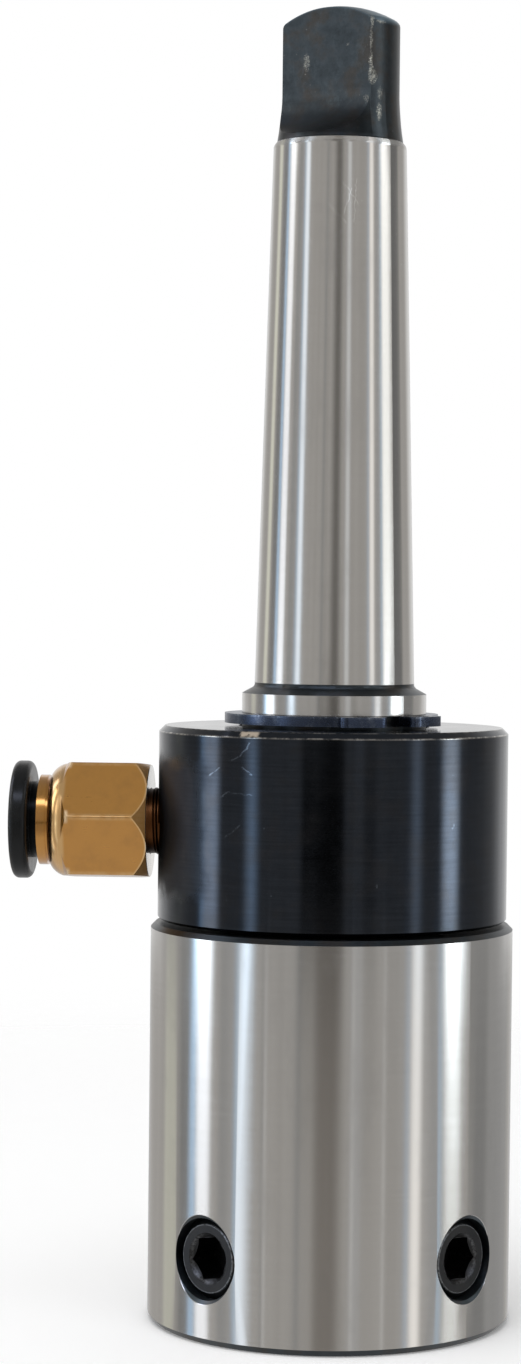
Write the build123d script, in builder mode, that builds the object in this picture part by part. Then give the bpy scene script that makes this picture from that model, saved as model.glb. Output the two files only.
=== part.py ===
"""Morse taper arbor for annular cutters, with a coolant collar and a push-in hose fitting.

The origin is the centre of the cutter socket's mouth, +Z runs up the spindle axis to the tang.
The two clamp screws point along -Y and +X. All sizes are in millimetres and all angles in degrees.
"""

from build123d import *
from math import cos, radians, sin, sqrt, tan
import os

os.makedirs("parts", exist_ok=True)

# Morse taper shank, size 3
gauge_diameter = 23.825
taper_length_per_diameter = 19.922
gauge_to_tang_end = 94.0
taper_tail = 8.05
tang_length = 20.4
tang_diameter = 17.9
tang_root_diameter = 19.1
tang_flare_length = 7.0
tang_thickness = 7.9
tang_flat_length = 13.0
tang_runout_radius = 7.0
tang_dome_radius = 17.0
tang_corner_radius = 1.0
tang_angle = -82.0
taper_end_break = 1.1
taper_end_sagitta = 0.15

# Arbor body and its cutter socket
body_diameter = 55.0
body_height = 60.1
body_chamfer = 1.0
body_top_chamfer = 0.7
socket_diameter = 32.0
socket_depth = 45.0
socket_lead = 0.4

# Journal, thrust land and neck between the body and the taper
journal_diameter = 28.0
land_diameter = 34.0
land_height = 0.5
journal_above_ring = 2.97
journal_chamfer_height = 0.85
journal_chamfer_width = 1.55
neck_height = 0.7
neck_sagitta = 0.12
cross_hole_diameter = 5.0
cross_hole_angles = (45.0, 135.0)

# Clamp screws, M12 with a 6 mm hexagon socket
screw_angles = {"clamp_screw_front": -90.0, "clamp_screw_side": 0.0}
key_angles = {"clamp_screw_front": 10.0, "clamp_screw_side": 56.0}
screw_height = 12.5
screw_diameter = 12.0
screw_length = 10.0
screw_recess = 1.2
screw_face_diameter = 10.0
screw_point_diameter = 8.5
screw_clearance = 0.05
screw_mouth_diameter = 13.2
key_width = 6.0
key_depth = 5.0
key_lead = 0.35

# Coolant collar that stands still while the arbor turns in it
collar_diameter = 53.0
collar_height = 29.3
collar_top_chamfer = 0.9
collar_bottom_chamfer = 0.4
collar_bore_lead = 0.5
collar_axial_play = 0.1
journal_clearance = 0.05
coolant_groove_width = 9.0
coolant_groove_depth = 3.0
seal_groove_width = 3.2
seal_groove_depth = 2.5
seal_inset = 5.0
seal_clearance = 0.02
seal_journal_clearance = 0.05

# Retaining ring on the journal, for a 28 mm shaft
ring_thickness = 1.5
ring_groove_width = 1.6
ring_groove_diameter = 26.6
ring_clearance = 0.02
ring_float = 0.45
ring_back_width = 3.6
ring_front_width = 2.2
ring_lug_width = 4.4
ring_lug_span = 25.0
ring_lug_hole_diameter = 2.5
ring_lug_hole_inset = 1.9
ring_lug_corner = 1.2
ring_gap_angle = 15.0
ring_angle = -12.6

# Push-in fitting for a 10 mm hose, with a 1/8 inch taper thread
port_angle = -140.0
port_above_collar_bottom = 14.5
thread_diameter = 9.86
thread_length = 8.0
thread_taper = 1 / 16
thread_clearance = 0.03
thread_end_chamfer = 0.5
thread_standoff = 1.25
port_countersink_diameter = 12.0
port_thread_runout = 0.4
port_passage_diameter = 6.0
hex_width = 17.0
hex_tilt = 6.7
hex_edge_radius = 0.3
hex_corner_trim = 0.1
hex_inner_chamfer = 2.2
hex_shoulder_length = 3.4
hex_outer_chamfer = 1.1
shoulder_diameter = 17.2
shoulder_sagitta = 0.35
fitting_length = 15.1
fitting_mouth_diameter = 13.9
hose_diameter = 10.0
hose_clearance = 0.1
hose_insertion = 17.0
hose_socket_length = 1.9
chamber_diameter = 12.8
chamber_length = 5.0
guide_bore_diameter = 13.2
guide_clearance = 0.02
guide_wall = 0.36
guide_lip_length = 3.6
guide_groove_width = 0.4
guide_groove_diameter = 12.7
guide_flange_diameter = 13.7
guide_flange_width = 1.3
sleeve_wall = 0.7
sleeve_stroke = 1.15
sleeve_clearance = 0.05
sleeve_ridge_width = 1.0
sleeve_lead = 0.6
sleeve_disc_diameter = 17.9
sleeve_disc_thickness = 2.8
sleeve_disc_rounding = 0.9
sleeve_tip_gap = 0.15
chamber_clearance = 0.02
tube_seal_length = 2.9
tube_seal_clearance = 0.05
tube_seal_chamfer = 0.4
spacer_length = 1.5
spacer_web = 0.4
spacer_clearance = 0.05
grip_rim_width = 0.5
grip_rim_diameter = 11.8
grip_thickness = 0.4
grip_teeth = 10
grip_slot_width = 0.7
grip_lean = 0.9

# Ejector, which also shuts the coolant off when no pilot pin pushes it up
ejector_bore_diameter = 13.0
ejector_bore_length = 93.0
drill_diameter = 10.0
drill_point_angle = 118.0
stop_groove_height = 2.0
stop_groove_width = 1.1
stop_groove_depth = 0.3
stop_ring_thickness = 1.0
stop_ring_wall = 1.4
stop_ring_clearance = 0.02
stop_ring_gap_angle = 50.0
valve_seat_thickness = 1.5
valve_seat_bore = 8.2
plunger_clearance = 0.05
plunger_length = 14.0
plunger_nose_diameter = 7.6
plunger_nose_length = 4.0
plunger_chamfer = 0.5
plunger_spigot_diameter = 8.4
plunger_spigot_length = 6.0
plunger_flutes = 3
plunger_flute_diameter = 3.4
spring_wire = 1.2
spring_outer_diameter = 12.0
spring_turns = 10
spring_clearance = 0.02
end_coil_margin = 0.05


def ring_point(radius, angle):
    """Point in a plan view at a radius from the axis and an angle from the local X direction."""
    return (radius * cos(radians(angle)), radius * sin(radians(angle)))


def facing_plane(angle, height, distance):
    """Plane that faces outwards at a plan angle, with its local Y upwards."""
    x, y = ring_point(1, angle)
    return Plane(origin=(distance * x, distance * y, height), x_dir=(-y, x, 0), z_dir=(x, y, 0))


def section_plane(angle, height):
    """Upright plane through the spindle axis, with local X outwards and local Y upwards."""
    x, y = ring_point(1, angle)
    return Plane(origin=(0, 0, height), x_dir=(x, y, 0), z_dir=(y, -x, 0))


def taper_radius(height):
    """Radius of the Morse taper at a height on the spindle axis."""
    return (gauge_diameter - (height - gauge_level) / taper_length_per_diameter) / 2


def thread_radius(distance):
    """Radius of the fitting's taper thread at a distance from the spindle axis."""
    return (thread_diameter + (distance - hex_face) * thread_taper) / 2


# Levels along the spindle axis
land_level = body_height + land_height
collar_bottom = land_level + collar_axial_play
collar_top = collar_bottom + collar_height
ring_bottom = collar_top + ring_float
ring_groove_bottom = ring_bottom - (ring_groove_width - ring_thickness) / 2
ring_groove_top = ring_groove_bottom + ring_groove_width
journal_edge = ring_groove_top + journal_above_ring
journal_top = journal_edge + journal_chamfer_height
neck_top = journal_top + neck_height
gauge_level = neck_top + taper_tail
tang_end = gauge_level + gauge_to_tang_end
tang_base = tang_end - tang_length
taper_end = tang_base - taper_end_break
flare_top = tang_base + tang_flare_length
tang_flat_bottom = tang_end - tang_flat_length
port_height = collar_bottom + port_above_collar_bottom
seal_levels = {"lower_seal": collar_bottom + seal_inset, "upper_seal": collar_top - seal_inset}
stop_groove_bottom = socket_depth + stop_groove_height
stop_groove_top = stop_groove_bottom + stop_groove_width
stop_ring_bottom = stop_groove_bottom + (stop_groove_width - stop_ring_thickness) / 2
valve_seat_bottom = stop_ring_bottom + stop_ring_thickness
plunger_bottom = valve_seat_bottom + valve_seat_thickness
plunger_top = plunger_bottom + plunger_length
ejector_bore_top = socket_depth + ejector_bore_length
drill_point_height = drill_diameter / 2 / tan(radians(drill_point_angle / 2))

# Radii about the spindle axis
body_radius = body_diameter / 2
socket_radius = socket_diameter / 2
journal_radius = journal_diameter / 2
tang_radius = tang_diameter / 2
tang_root_radius = tang_root_diameter / 2
dome_drop = tang_dome_radius - sqrt(tang_dome_radius**2 - tang_radius**2)
collar_radius = collar_diameter / 2
collar_bore_radius = journal_radius + journal_clearance
seal_groove_radius = collar_bore_radius + seal_groove_depth
seal_inner_radius = journal_radius + seal_journal_clearance
seal_section = seal_groove_radius - seal_clearance - seal_inner_radius
seal_radius = seal_inner_radius + seal_section / 2
ring_groove_radius = ring_groove_diameter / 2
ring_inner_radius = ring_groove_radius + ring_clearance
ring_outer_radius = ring_inner_radius + (ring_back_width + ring_front_width) / 2
ring_eccentricity = (ring_back_width - ring_front_width) / 2
ring_lug_radius = ring_inner_radius + ring_lug_width
ejector_bore_radius = ejector_bore_diameter / 2
stop_groove_radius = ejector_bore_radius + stop_groove_depth

# Distances of the fitting's faces from the spindle axis
hex_face = collar_radius + thread_standoff
thread_end = hex_face - thread_length
port_thread_end = thread_end - port_thread_runout
fitting_end = hex_face + fitting_length
guide_flange_face = fitting_end + guide_groove_width
guide_end = guide_flange_face + guide_flange_width
disc_face = guide_end + sleeve_stroke + sleeve_clearance
sleeve_end = disc_face + sleeve_disc_thickness
hose_stop = sleeve_end - hose_insertion
chamber_bottom = hose_stop + hose_socket_length
chamber_top = chamber_bottom + chamber_length
grip_bottom = chamber_top - grip_rim_width
spacer_bottom = grip_bottom - spacer_length
sleeve_tip = chamber_top + sleeve_stroke + sleeve_tip_gap

# Radii about the fitting's axis
hose_bore_radius = hose_diameter / 2 + hose_clearance
hex_corner_radius = hex_width / sqrt(3) + hex_corner_trim
shoulder_radius = shoulder_diameter / 2
chamber_part_radius = chamber_diameter / 2 - chamber_clearance
grip_rim_radius = grip_rim_diameter / 2
guide_skirt_radius = guide_bore_diameter / 2 - guide_clearance
guide_inner_radius = guide_skirt_radius - guide_wall
sleeve_neck_radius = hose_bore_radius + sleeve_wall
sleeve_disc_radius = sleeve_disc_diameter / 2
fitting_axis = Axis(origin=(0, 0, port_height), direction=(*ring_point(1, port_angle), 0))
fitting_section = section_plane(port_angle, port_height)

# Arbor: shank, journal and body in one piece of steel
with BuildPart() as arbor:
    with BuildSketch(Plane.XZ) as arbor_profile:
        with BuildLine():
            dome_edge = (tang_radius, tang_end - dome_drop)
            shank_end = (taper_radius(taper_end), taper_end)
            Polyline(
                (0, tang_end),
                (0, 0),
                (body_radius - body_chamfer, 0),
                (body_radius, body_chamfer),
                (body_radius, body_height - body_top_chamfer),
                (body_radius - body_top_chamfer, body_height),
                (land_diameter / 2, body_height),
                (land_diameter / 2, land_level),
                (journal_radius, land_level),
                (journal_radius, ring_groove_bottom),
                (ring_groove_radius, ring_groove_bottom),
                (ring_groove_radius, ring_groove_top),
                (journal_radius, ring_groove_top),
                (journal_radius, journal_edge),
                (journal_radius - journal_chamfer_width, journal_top),
            )
            neck_start = (journal_radius - journal_chamfer_width, journal_top)
            neck_end = (taper_radius(neck_top), neck_top)
            SagittaArc(neck_start, neck_end, neck_sagitta)
            Line(neck_end, shank_end)
            SagittaArc(shank_end, (tang_root_radius, tang_base), -taper_end_sagitta)
            TangentArc((tang_radius, flare_top), (tang_root_radius, tang_base), tangent=(0, -1))
            Line((tang_radius, flare_top), dome_edge)
            RadiusArc(dome_edge, (0, tang_end), -tang_dome_radius)
        make_face()
        fillet(arbor_profile.vertices().sort_by_distance(dome_edge)[0], tang_corner_radius)
    revolve(axis=Axis.Z)

    # Cutter socket, and above it the ejector's bore with the groove for its stop ring
    with BuildSketch(Plane.XZ):
        with BuildLine():
            Polyline(
                (0, 0),
                (socket_radius + socket_lead, 0),
                (socket_radius, socket_lead),
                (socket_radius, socket_depth),
                (ejector_bore_radius, socket_depth),
                (ejector_bore_radius, stop_groove_bottom),
                (stop_groove_radius, stop_groove_bottom),
                (stop_groove_radius, stop_groove_top),
                (ejector_bore_radius, stop_groove_top),
                (ejector_bore_radius, ejector_bore_top),
                (0, ejector_bore_top + drill_point_height),
                close=True,
            )
        make_face()
    revolve(axis=Axis.Z, mode=Mode.SUBTRACT)

    # Threaded holes for the clamp screws, each with a countersunk mouth
    for angle in screw_angles.values():
        with Locations(facing_plane(angle, screw_height, body_radius)):
            CounterSinkHole(
                radius=screw_diameter / 2 + screw_clearance,
                counter_sink_radius=screw_mouth_diameter / 2,
                depth=body_radius,
                counter_sink_angle=90,
            )

    # Coolant holes drilled across the journal, midway between the screws
    for angle in cross_hole_angles:
        with BuildSketch(facing_plane(angle, port_height, 0)):
            Circle(cross_hole_diameter / 2)
        extrude(amount=journal_diameter, both=True, mode=Mode.SUBTRACT)

    # Two flats on the tang, each running out in an arc
    with BuildSketch(section_plane(tang_angle, 0)):
        with BuildLine():
            flat = tang_thickness / 2
            runout_centre = (flat + tang_runout_radius, tang_flat_bottom)
            Line((flat, tang_end), (flat, tang_flat_bottom))
            CenterArc(runout_centre, tang_runout_radius, 180, 90)
            Polyline(
                (flat + tang_runout_radius, tang_flat_bottom - tang_runout_radius),
                (flat + tang_runout_radius, tang_end),
                (flat, tang_end),
            )
        make_face()
        mirror(about=Plane.YZ)
    extrude(amount=tang_diameter, both=True, mode=Mode.SUBTRACT)
arbor.part.label = "arbor"
export_step(arbor.part, "parts/arbor.step")

# Coolant collar: bore with a coolant groove between two seal grooves
with BuildPart() as coolant_collar:
    with BuildSketch(Plane.XZ):
        with BuildLine():
            Polyline(
                (collar_bore_radius + collar_bore_lead, collar_bottom),
                (collar_radius - collar_bottom_chamfer, collar_bottom),
                (collar_radius, collar_bottom + collar_bottom_chamfer),
                (collar_radius, collar_top - collar_top_chamfer),
                (collar_radius - collar_top_chamfer, collar_top),
                (collar_bore_radius + collar_bore_lead, collar_top),
                (collar_bore_radius, collar_top - collar_bore_lead),
                (collar_bore_radius, collar_bottom + collar_bore_lead),
                close=True,
            )
        make_face()
    revolve(axis=Axis.Z)
    with BuildSketch(Plane.XZ):
        with Locations((collar_bore_radius, port_height)):
            Rectangle(coolant_groove_depth, coolant_groove_width, align=(Align.MIN, Align.CENTER))
        with Locations(*[(collar_bore_radius, level) for level in seal_levels.values()]):
            Rectangle(seal_groove_depth, seal_groove_width, align=(Align.MIN, Align.CENTER))
    revolve(axis=Axis.Z, mode=Mode.SUBTRACT)

    # Port for the fitting: passage, taper thread and countersink
    with BuildSketch(fitting_section):
        with BuildLine():
            sink_radius = port_countersink_diameter / 2
            sink_depth = sink_radius - thread_radius(collar_radius) - thread_clearance
            Polyline(
                (collar_bore_radius, 0),
                (collar_bore_radius, port_passage_diameter / 2),
                (port_thread_end, port_passage_diameter / 2),
                (port_thread_end, thread_radius(port_thread_end) + thread_clearance),
                (collar_radius - sink_depth, sink_radius - sink_depth),
                (collar_radius, sink_radius),
                (collar_radius, 0),
                close=True,
            )
        make_face()
    revolve(axis=fitting_axis, mode=Mode.SUBTRACT)
coolant_collar.part.label = "coolant_collar"
export_step(coolant_collar.part, "parts/coolant_collar.step")

# Seal rings on both sides of the coolant groove
for name, level in seal_levels.items():
    with BuildPart() as seal:
        with Locations((0, 0, level)):
            Torus(major_radius=seal_radius, minor_radius=seal_section / 2)
    seal.part.label = name
    export_step(seal.part, f"parts/{name}.step")

# Retaining ring, wider at its back than at the lugs beside the gap
with BuildPart() as retaining_ring:
    ring_direction = (*ring_point(1, ring_angle), 0)
    with BuildSketch(Plane(origin=(0, 0, ring_bottom), x_dir=ring_direction)) as ring_outline:
        with Locations((-ring_eccentricity, 0)):
            Circle(ring_outer_radius)
        lug_end_angle = ring_gap_angle / 2 + ring_lug_span
        with BuildLine():
            Polyline(
                ring_point(ring_lug_radius, -lug_end_angle),
                (0, 0),
                ring_point(ring_lug_radius, lug_end_angle),
            )
            CenterArc((0, 0), ring_lug_radius, -lug_end_angle, 2 * lug_end_angle)
        make_face()
        with BuildLine():
            Polyline(
                (0, 0),
                ring_point(2 * ring_lug_radius, -ring_gap_angle / 2),
                ring_point(2 * ring_lug_radius, ring_gap_angle / 2),
                close=True,
            )
        make_face(mode=Mode.SUBTRACT)
        fillet(ring_outline.vertices().sort_by_distance((0, 0))[-4:], ring_lug_corner)
        Circle(ring_inner_radius, mode=Mode.SUBTRACT)
        lug_angle = (ring_gap_angle + ring_lug_span) / 2
        hole_radius = ring_lug_radius - ring_lug_hole_inset
        with Locations(*[ring_point(hole_radius, side * lug_angle) for side in (-1, 1)]):
            Circle(ring_lug_hole_diameter / 2, mode=Mode.SUBTRACT)
    extrude(amount=ring_thickness)
retaining_ring.part.label = "retaining_ring"
export_step(retaining_ring.part, "parts/retaining_ring.step")

# Fitting body: a hexagon bar turned down at both ends, threaded into the port
with BuildPart() as fitting_body:
    with BuildSketch(facing_plane(port_angle, port_height, hex_face)) as hexagon:
        RegularPolygon(hex_width / 2, 6, major_radius=False, rotation=hex_tilt)
        fillet(hexagon.vertices(), hex_edge_radius)
    extrude(amount=fitting_length)
    with BuildSketch(fitting_section):
        with BuildLine():
            shoulder_start = (fitting_end - hex_shoulder_length + hex_outer_chamfer, shoulder_radius)
            mouth_edge = (fitting_end, fitting_mouth_diameter / 2)
            Polyline(
                mouth_edge,
                (fitting_end, 0),
                (hex_face, 0),
                (hex_face, hex_width / 2),
                (hex_face + hex_inner_chamfer, hex_corner_radius),
                (fitting_end - hex_shoulder_length, hex_corner_radius),
                shoulder_start,
            )
            SagittaArc(shoulder_start, mouth_edge, shoulder_sagitta)
        make_face()
    revolve(axis=fitting_axis, mode=Mode.INTERSECT)
    with BuildSketch(fitting_section):
        with BuildLine():
            Polyline(
                (thread_end, 0),
                (thread_end, thread_radius(thread_end) - thread_end_chamfer),
                (thread_end + thread_end_chamfer, thread_radius(thread_end + thread_end_chamfer)),
                (hex_face, thread_radius(hex_face)),
                (hex_face, 0),
                close=True,
            )
        make_face()
    revolve(axis=fitting_axis)
    with BuildSketch(fitting_section):
        with BuildLine():
            Polyline(
                (thread_end, 0),
                (thread_end, port_passage_diameter / 2),
                (hose_stop, port_passage_diameter / 2),
                (hose_stop, hose_bore_radius),
                (chamber_bottom, hose_bore_radius),
                (chamber_bottom, chamber_diameter / 2),
                (chamber_top, chamber_diameter / 2),
                (chamber_top, guide_bore_diameter / 2),
                (fitting_end, guide_bore_diameter / 2),
                (fitting_end, 0),
                close=True,
            )
        make_face()
    revolve(axis=fitting_axis, mode=Mode.SUBTRACT)
fitting_body.part.label = "fitting_body"
export_step(fitting_body.part, "parts/fitting_body.step")

# Tube seal at the bottom of the fitting's chamber
with BuildPart() as tube_seal:
    with BuildSketch(fitting_section):
        with BuildLine():
            Polyline(
                (chamber_bottom + tube_seal_clearance, hose_bore_radius),
                (chamber_bottom + tube_seal_clearance, chamber_part_radius),
                (chamber_bottom + tube_seal_clearance + tube_seal_length, chamber_part_radius),
                (chamber_bottom + tube_seal_clearance + tube_seal_length, hose_bore_radius),
                close=True,
            )
        make_face()
    revolve(axis=fitting_axis)
    chamfer(tube_seal.edges().filter_by(GeomType.CIRCLE), tube_seal_chamfer)
tube_seal.part.label = "tube_seal"
export_step(tube_seal.part, "parts/tube_seal.step")

# Spacer that keeps the seal in place and backs the grip ring
with BuildPart() as grip_spacer:
    with BuildSketch(fitting_section):
        with BuildLine():
            Polyline(
                (spacer_bottom, hose_bore_radius),
                (spacer_bottom, chamber_part_radius),
                (grip_bottom, chamber_part_radius),
                (grip_bottom, grip_rim_radius + spacer_clearance),
                (spacer_bottom + spacer_web, grip_rim_radius + spacer_clearance),
                (spacer_bottom + spacer_web, hose_bore_radius),
                close=True,
            )
        make_face()
    revolve(axis=fitting_axis)
grip_spacer.part.label = "grip_spacer"
export_step(grip_spacer.part, "parts/grip_spacer.step")

# Grip ring: a flat rim with slotted teeth that lean inwards onto the hose
with BuildPart() as grip_ring:
    with BuildSketch(fitting_section):
        with BuildLine():
            Polyline(
                (chamber_top, grip_rim_radius),
                (chamber_top, chamber_part_radius),
                (grip_bottom, chamber_part_radius),
                (grip_bottom, grip_rim_radius),
                (grip_bottom - grip_lean, hose_bore_radius),
                (grip_bottom - grip_lean + grip_thickness, hose_bore_radius),
                close=True,
            )
        make_face()
    revolve(axis=fitting_axis)
    with BuildSketch(facing_plane(port_angle, port_height, spacer_bottom)):
        with PolarLocations(hose_bore_radius, grip_teeth):
            slot_length = grip_rim_radius - hose_bore_radius
            Rectangle(2 * slot_length, grip_slot_width)
    extrude(amount=chamber_top - spacer_bottom, mode=Mode.SUBTRACT)
grip_ring.part.label = "grip_ring"
export_step(grip_ring.part, "parts/grip_ring.step")

# Guide ring pressed into the fitting's mouth; its lip holds the release sleeve back
with BuildPart() as guide_ring:
    with BuildSketch(fitting_section):
        with BuildLine():
            Polyline(
                (chamber_top, guide_inner_radius),
                (chamber_top, guide_skirt_radius),
                (fitting_end, guide_skirt_radius),
                (fitting_end, guide_groove_diameter / 2),
                (guide_flange_face, guide_groove_diameter / 2),
                (guide_flange_face, guide_flange_diameter / 2),
                (guide_end, guide_flange_diameter / 2),
                (guide_end, sleeve_neck_radius + sleeve_clearance),
                (guide_end - guide_lip_length, sleeve_neck_radius + sleeve_clearance),
                (guide_end - guide_lip_length, guide_inner_radius),
                close=True,
            )
        make_face()
    revolve(axis=fitting_axis)
guide_ring.part.label = "guide_ring"
export_step(guide_ring.part, "parts/guide_ring.step")

# Release sleeve: pressed in by its disc, held by a ridge behind the guide ring's lip
with BuildPart() as release_sleeve:
    with BuildSketch(fitting_section) as sleeve_profile:
        with BuildLine():
            ridge_back = guide_end - guide_lip_length - sleeve_clearance / 2
            ridge_radius = guide_inner_radius - sleeve_clearance
            Polyline(
                (sleeve_tip, hose_bore_radius),
                (sleeve_tip, sleeve_neck_radius),
                (ridge_back - sleeve_ridge_width, ridge_radius),
                (ridge_back, ridge_radius),
                (ridge_back, sleeve_neck_radius),
                (disc_face, sleeve_neck_radius),
                (disc_face, sleeve_disc_radius),
                (sleeve_end, sleeve_disc_radius),
                (sleeve_end, hose_bore_radius + sleeve_lead),
                (sleeve_end - sleeve_lead, hose_bore_radius),
                close=True,
            )
        make_face()
        disc_corners = [(disc_face, sleeve_disc_radius), (sleeve_end, sleeve_disc_radius)]
        corners = [sleeve_profile.vertices().sort_by_distance(corner)[0] for corner in disc_corners]
        fillet(corners, sleeve_disc_rounding)
    revolve(axis=fitting_axis)
release_sleeve.part.label = "release_sleeve"
export_step(release_sleeve.part, "parts/release_sleeve.step")

# Clamp screws with a flat point and a hexagon socket
for name, angle in screw_angles.items():
    with BuildPart() as clamp_screw:
        screw_face = body_radius - screw_recess
        screw_tip = screw_face - screw_length
        with BuildSketch(section_plane(angle, screw_height)):
            with BuildLine():
                point_chamfer = (screw_diameter - screw_point_diameter) / 2
                face_chamfer = (screw_diameter - screw_face_diameter) / 2
                Polyline(
                    (screw_tip, 0),
                    (screw_tip, screw_point_diameter / 2),
                    (screw_tip + point_chamfer, screw_diameter / 2),
                    (screw_face - face_chamfer, screw_diameter / 2),
                    (screw_face, screw_face_diameter / 2),
                    (screw_face, 0),
                    close=True,
                )
            make_face()
        revolve(axis=Axis(origin=(0, 0, screw_height), direction=(*ring_point(1, angle), 0)))
        with BuildSketch(facing_plane(angle, screw_height, screw_face)):
            RegularPolygon(key_width / 2, 6, major_radius=False, rotation=key_angles[name])
        extrude(amount=-key_depth, mode=Mode.SUBTRACT)
        with BuildSketch(facing_plane(angle, screw_height, screw_face)):
            Circle(key_width / sqrt(3) + key_lead)
        extrude(amount=-2 * key_lead, taper=45, mode=Mode.SUBTRACT)
    clamp_screw.part.label = name
    export_step(clamp_screw.part, f"parts/{name}.step")

# Stop ring: an open snap ring in the groove of the ejector's bore
with BuildPart() as stop_ring:
    with BuildSketch(Plane.XY.offset(stop_ring_bottom)):
        with BuildLine():
            outer_radius = stop_groove_radius - stop_ring_clearance
            inner_radius = outer_radius - stop_ring_wall
            sweep_angle = 360 - stop_ring_gap_angle
            start, end = stop_ring_gap_angle / 2, -stop_ring_gap_angle / 2
            CenterArc((0, 0), outer_radius, start, sweep_angle)
            CenterArc((0, 0), inner_radius, start, sweep_angle)
            Line(ring_point(inner_radius, start), ring_point(outer_radius, start))
            Line(ring_point(inner_radius, end), ring_point(outer_radius, end))
        make_face()
    extrude(amount=stop_ring_thickness)
stop_ring.part.label = "stop_ring"
export_step(stop_ring.part, "parts/stop_ring.step")

# Valve seat: the washer on which the plunger rests and seals
with BuildPart() as valve_seat:
    with BuildSketch(Plane.XY.offset(valve_seat_bottom)):
        Circle(ejector_bore_radius - plunger_clearance)
        Circle(valve_seat_bore / 2, mode=Mode.SUBTRACT)
    extrude(amount=valve_seat_thickness)
valve_seat.part.label = "valve_seat"
export_step(valve_seat.part, "parts/valve_seat.step")

# Ejector plunger: a nose below the seat, a fluted body and a spigot for the spring
with BuildPart() as ejector_plunger:
    with BuildSketch(Plane.XZ):
        with BuildLine():
            nose_radius = plunger_nose_diameter / 2
            plunger_radius = ejector_bore_radius - plunger_clearance
            spigot_radius = plunger_spigot_diameter / 2
            Polyline(
                (0, plunger_bottom - plunger_nose_length),
                (nose_radius - plunger_chamfer, plunger_bottom - plunger_nose_length),
                (nose_radius, plunger_bottom - plunger_nose_length + plunger_chamfer),
                (nose_radius, plunger_bottom),
                (plunger_radius, plunger_bottom),
                (plunger_radius, plunger_top),
                (spigot_radius, plunger_top),
                (spigot_radius, plunger_top + plunger_spigot_length - plunger_chamfer),
                (spigot_radius - plunger_chamfer, plunger_top + plunger_spigot_length),
                (0, plunger_top + plunger_spigot_length),
                close=True,
            )
        make_face()
    revolve(axis=Axis.Z)
    with BuildSketch(Plane.XY.offset(plunger_bottom)):
        with PolarLocations(plunger_radius, plunger_flutes):
            Circle(plunger_flute_diameter / 2)
    extrude(amount=plunger_length, mode=Mode.SUBTRACT)
ejector_plunger.part.label = "ejector_plunger"
export_step(ejector_plunger.part, "parts/ejector_plunger.step")

# Ejector spring of square wire, with a slightly wider closed coil at each end
with BuildPart() as ejector_spring:
    spring_radius = (spring_outer_diameter - spring_wire) / 2
    end_coil_half_width = spring_wire / 2 + end_coil_margin
    spring_bottom = plunger_top + spring_clearance
    coil_bottom = spring_bottom + end_coil_half_width
    coil_height = ejector_bore_top - spring_bottom - 2 * end_coil_half_width
    with BuildLine() as coil:
        Helix(coil_height / spring_turns, coil_height, spring_radius, center=(0, 0, coil_bottom))
    with BuildSketch(Plane.XZ):
        with Locations((spring_radius, coil_bottom)):
            Rectangle(spring_wire, spring_wire)
    sweep(path=coil.line, is_frenet=True)
    for level in (spring_bottom, ejector_bore_top - spring_wire):
        with BuildSketch(Plane.XY.offset(level)):
            Circle(spring_radius + end_coil_half_width)
            Circle(spring_radius - end_coil_half_width, mode=Mode.SUBTRACT)
        extrude(amount=spring_wire)
ejector_spring.part.label = "ejector_spring"
export_step(ejector_spring.part, "parts/ejector_spring.step")
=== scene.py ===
"""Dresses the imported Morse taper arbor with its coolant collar, and sets it in a small studio.

All sizes in the classes are in millimetres and all angles in degrees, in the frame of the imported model:
the origin is the centre of the cutter socket's mouth and +Z runs up the spindle axis to the tang.
A mask is a value that is 1 where something is and 0 elsewhere.
"""

from __future__ import annotations

import logging
import math
from collections.abc import Callable, Mapping, Sequence
from dataclasses import dataclass
from enum import Enum

import bpy
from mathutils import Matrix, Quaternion, Vector


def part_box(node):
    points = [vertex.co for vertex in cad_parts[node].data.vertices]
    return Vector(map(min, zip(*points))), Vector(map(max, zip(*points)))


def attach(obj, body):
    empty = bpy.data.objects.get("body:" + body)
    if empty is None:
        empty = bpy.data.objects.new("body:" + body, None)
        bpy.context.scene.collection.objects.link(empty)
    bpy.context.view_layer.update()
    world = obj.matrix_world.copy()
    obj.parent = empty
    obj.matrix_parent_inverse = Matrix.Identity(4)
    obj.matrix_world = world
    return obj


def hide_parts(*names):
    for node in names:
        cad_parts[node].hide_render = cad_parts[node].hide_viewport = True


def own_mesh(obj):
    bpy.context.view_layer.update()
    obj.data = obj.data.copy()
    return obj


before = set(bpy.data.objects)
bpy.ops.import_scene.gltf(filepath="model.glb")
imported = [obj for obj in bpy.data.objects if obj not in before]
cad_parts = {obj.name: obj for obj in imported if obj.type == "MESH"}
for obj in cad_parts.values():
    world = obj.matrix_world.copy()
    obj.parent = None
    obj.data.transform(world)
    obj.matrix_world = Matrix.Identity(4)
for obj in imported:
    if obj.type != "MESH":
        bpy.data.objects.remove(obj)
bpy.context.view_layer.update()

log = logging.getLogger("arbor_scene")

MM = 0.001
UP = Vector((0.0, 0.0, 1.0))
Colour = tuple[float, float, float]


def facing(angle: float) -> Vector:
    """Returns the level direction at a plan angle."""
    return Vector((math.cos(math.radians(angle)), math.sin(math.radians(angle)), 0.0))


@dataclass(frozen=True)
class Grain:
    """A noise: its features to a millimetre, its finer layers and their strength, and how it is stretched."""

    density: float
    detail: float = 2.0
    harshness: float = 0.5
    stretch: Colour | None = None


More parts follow.
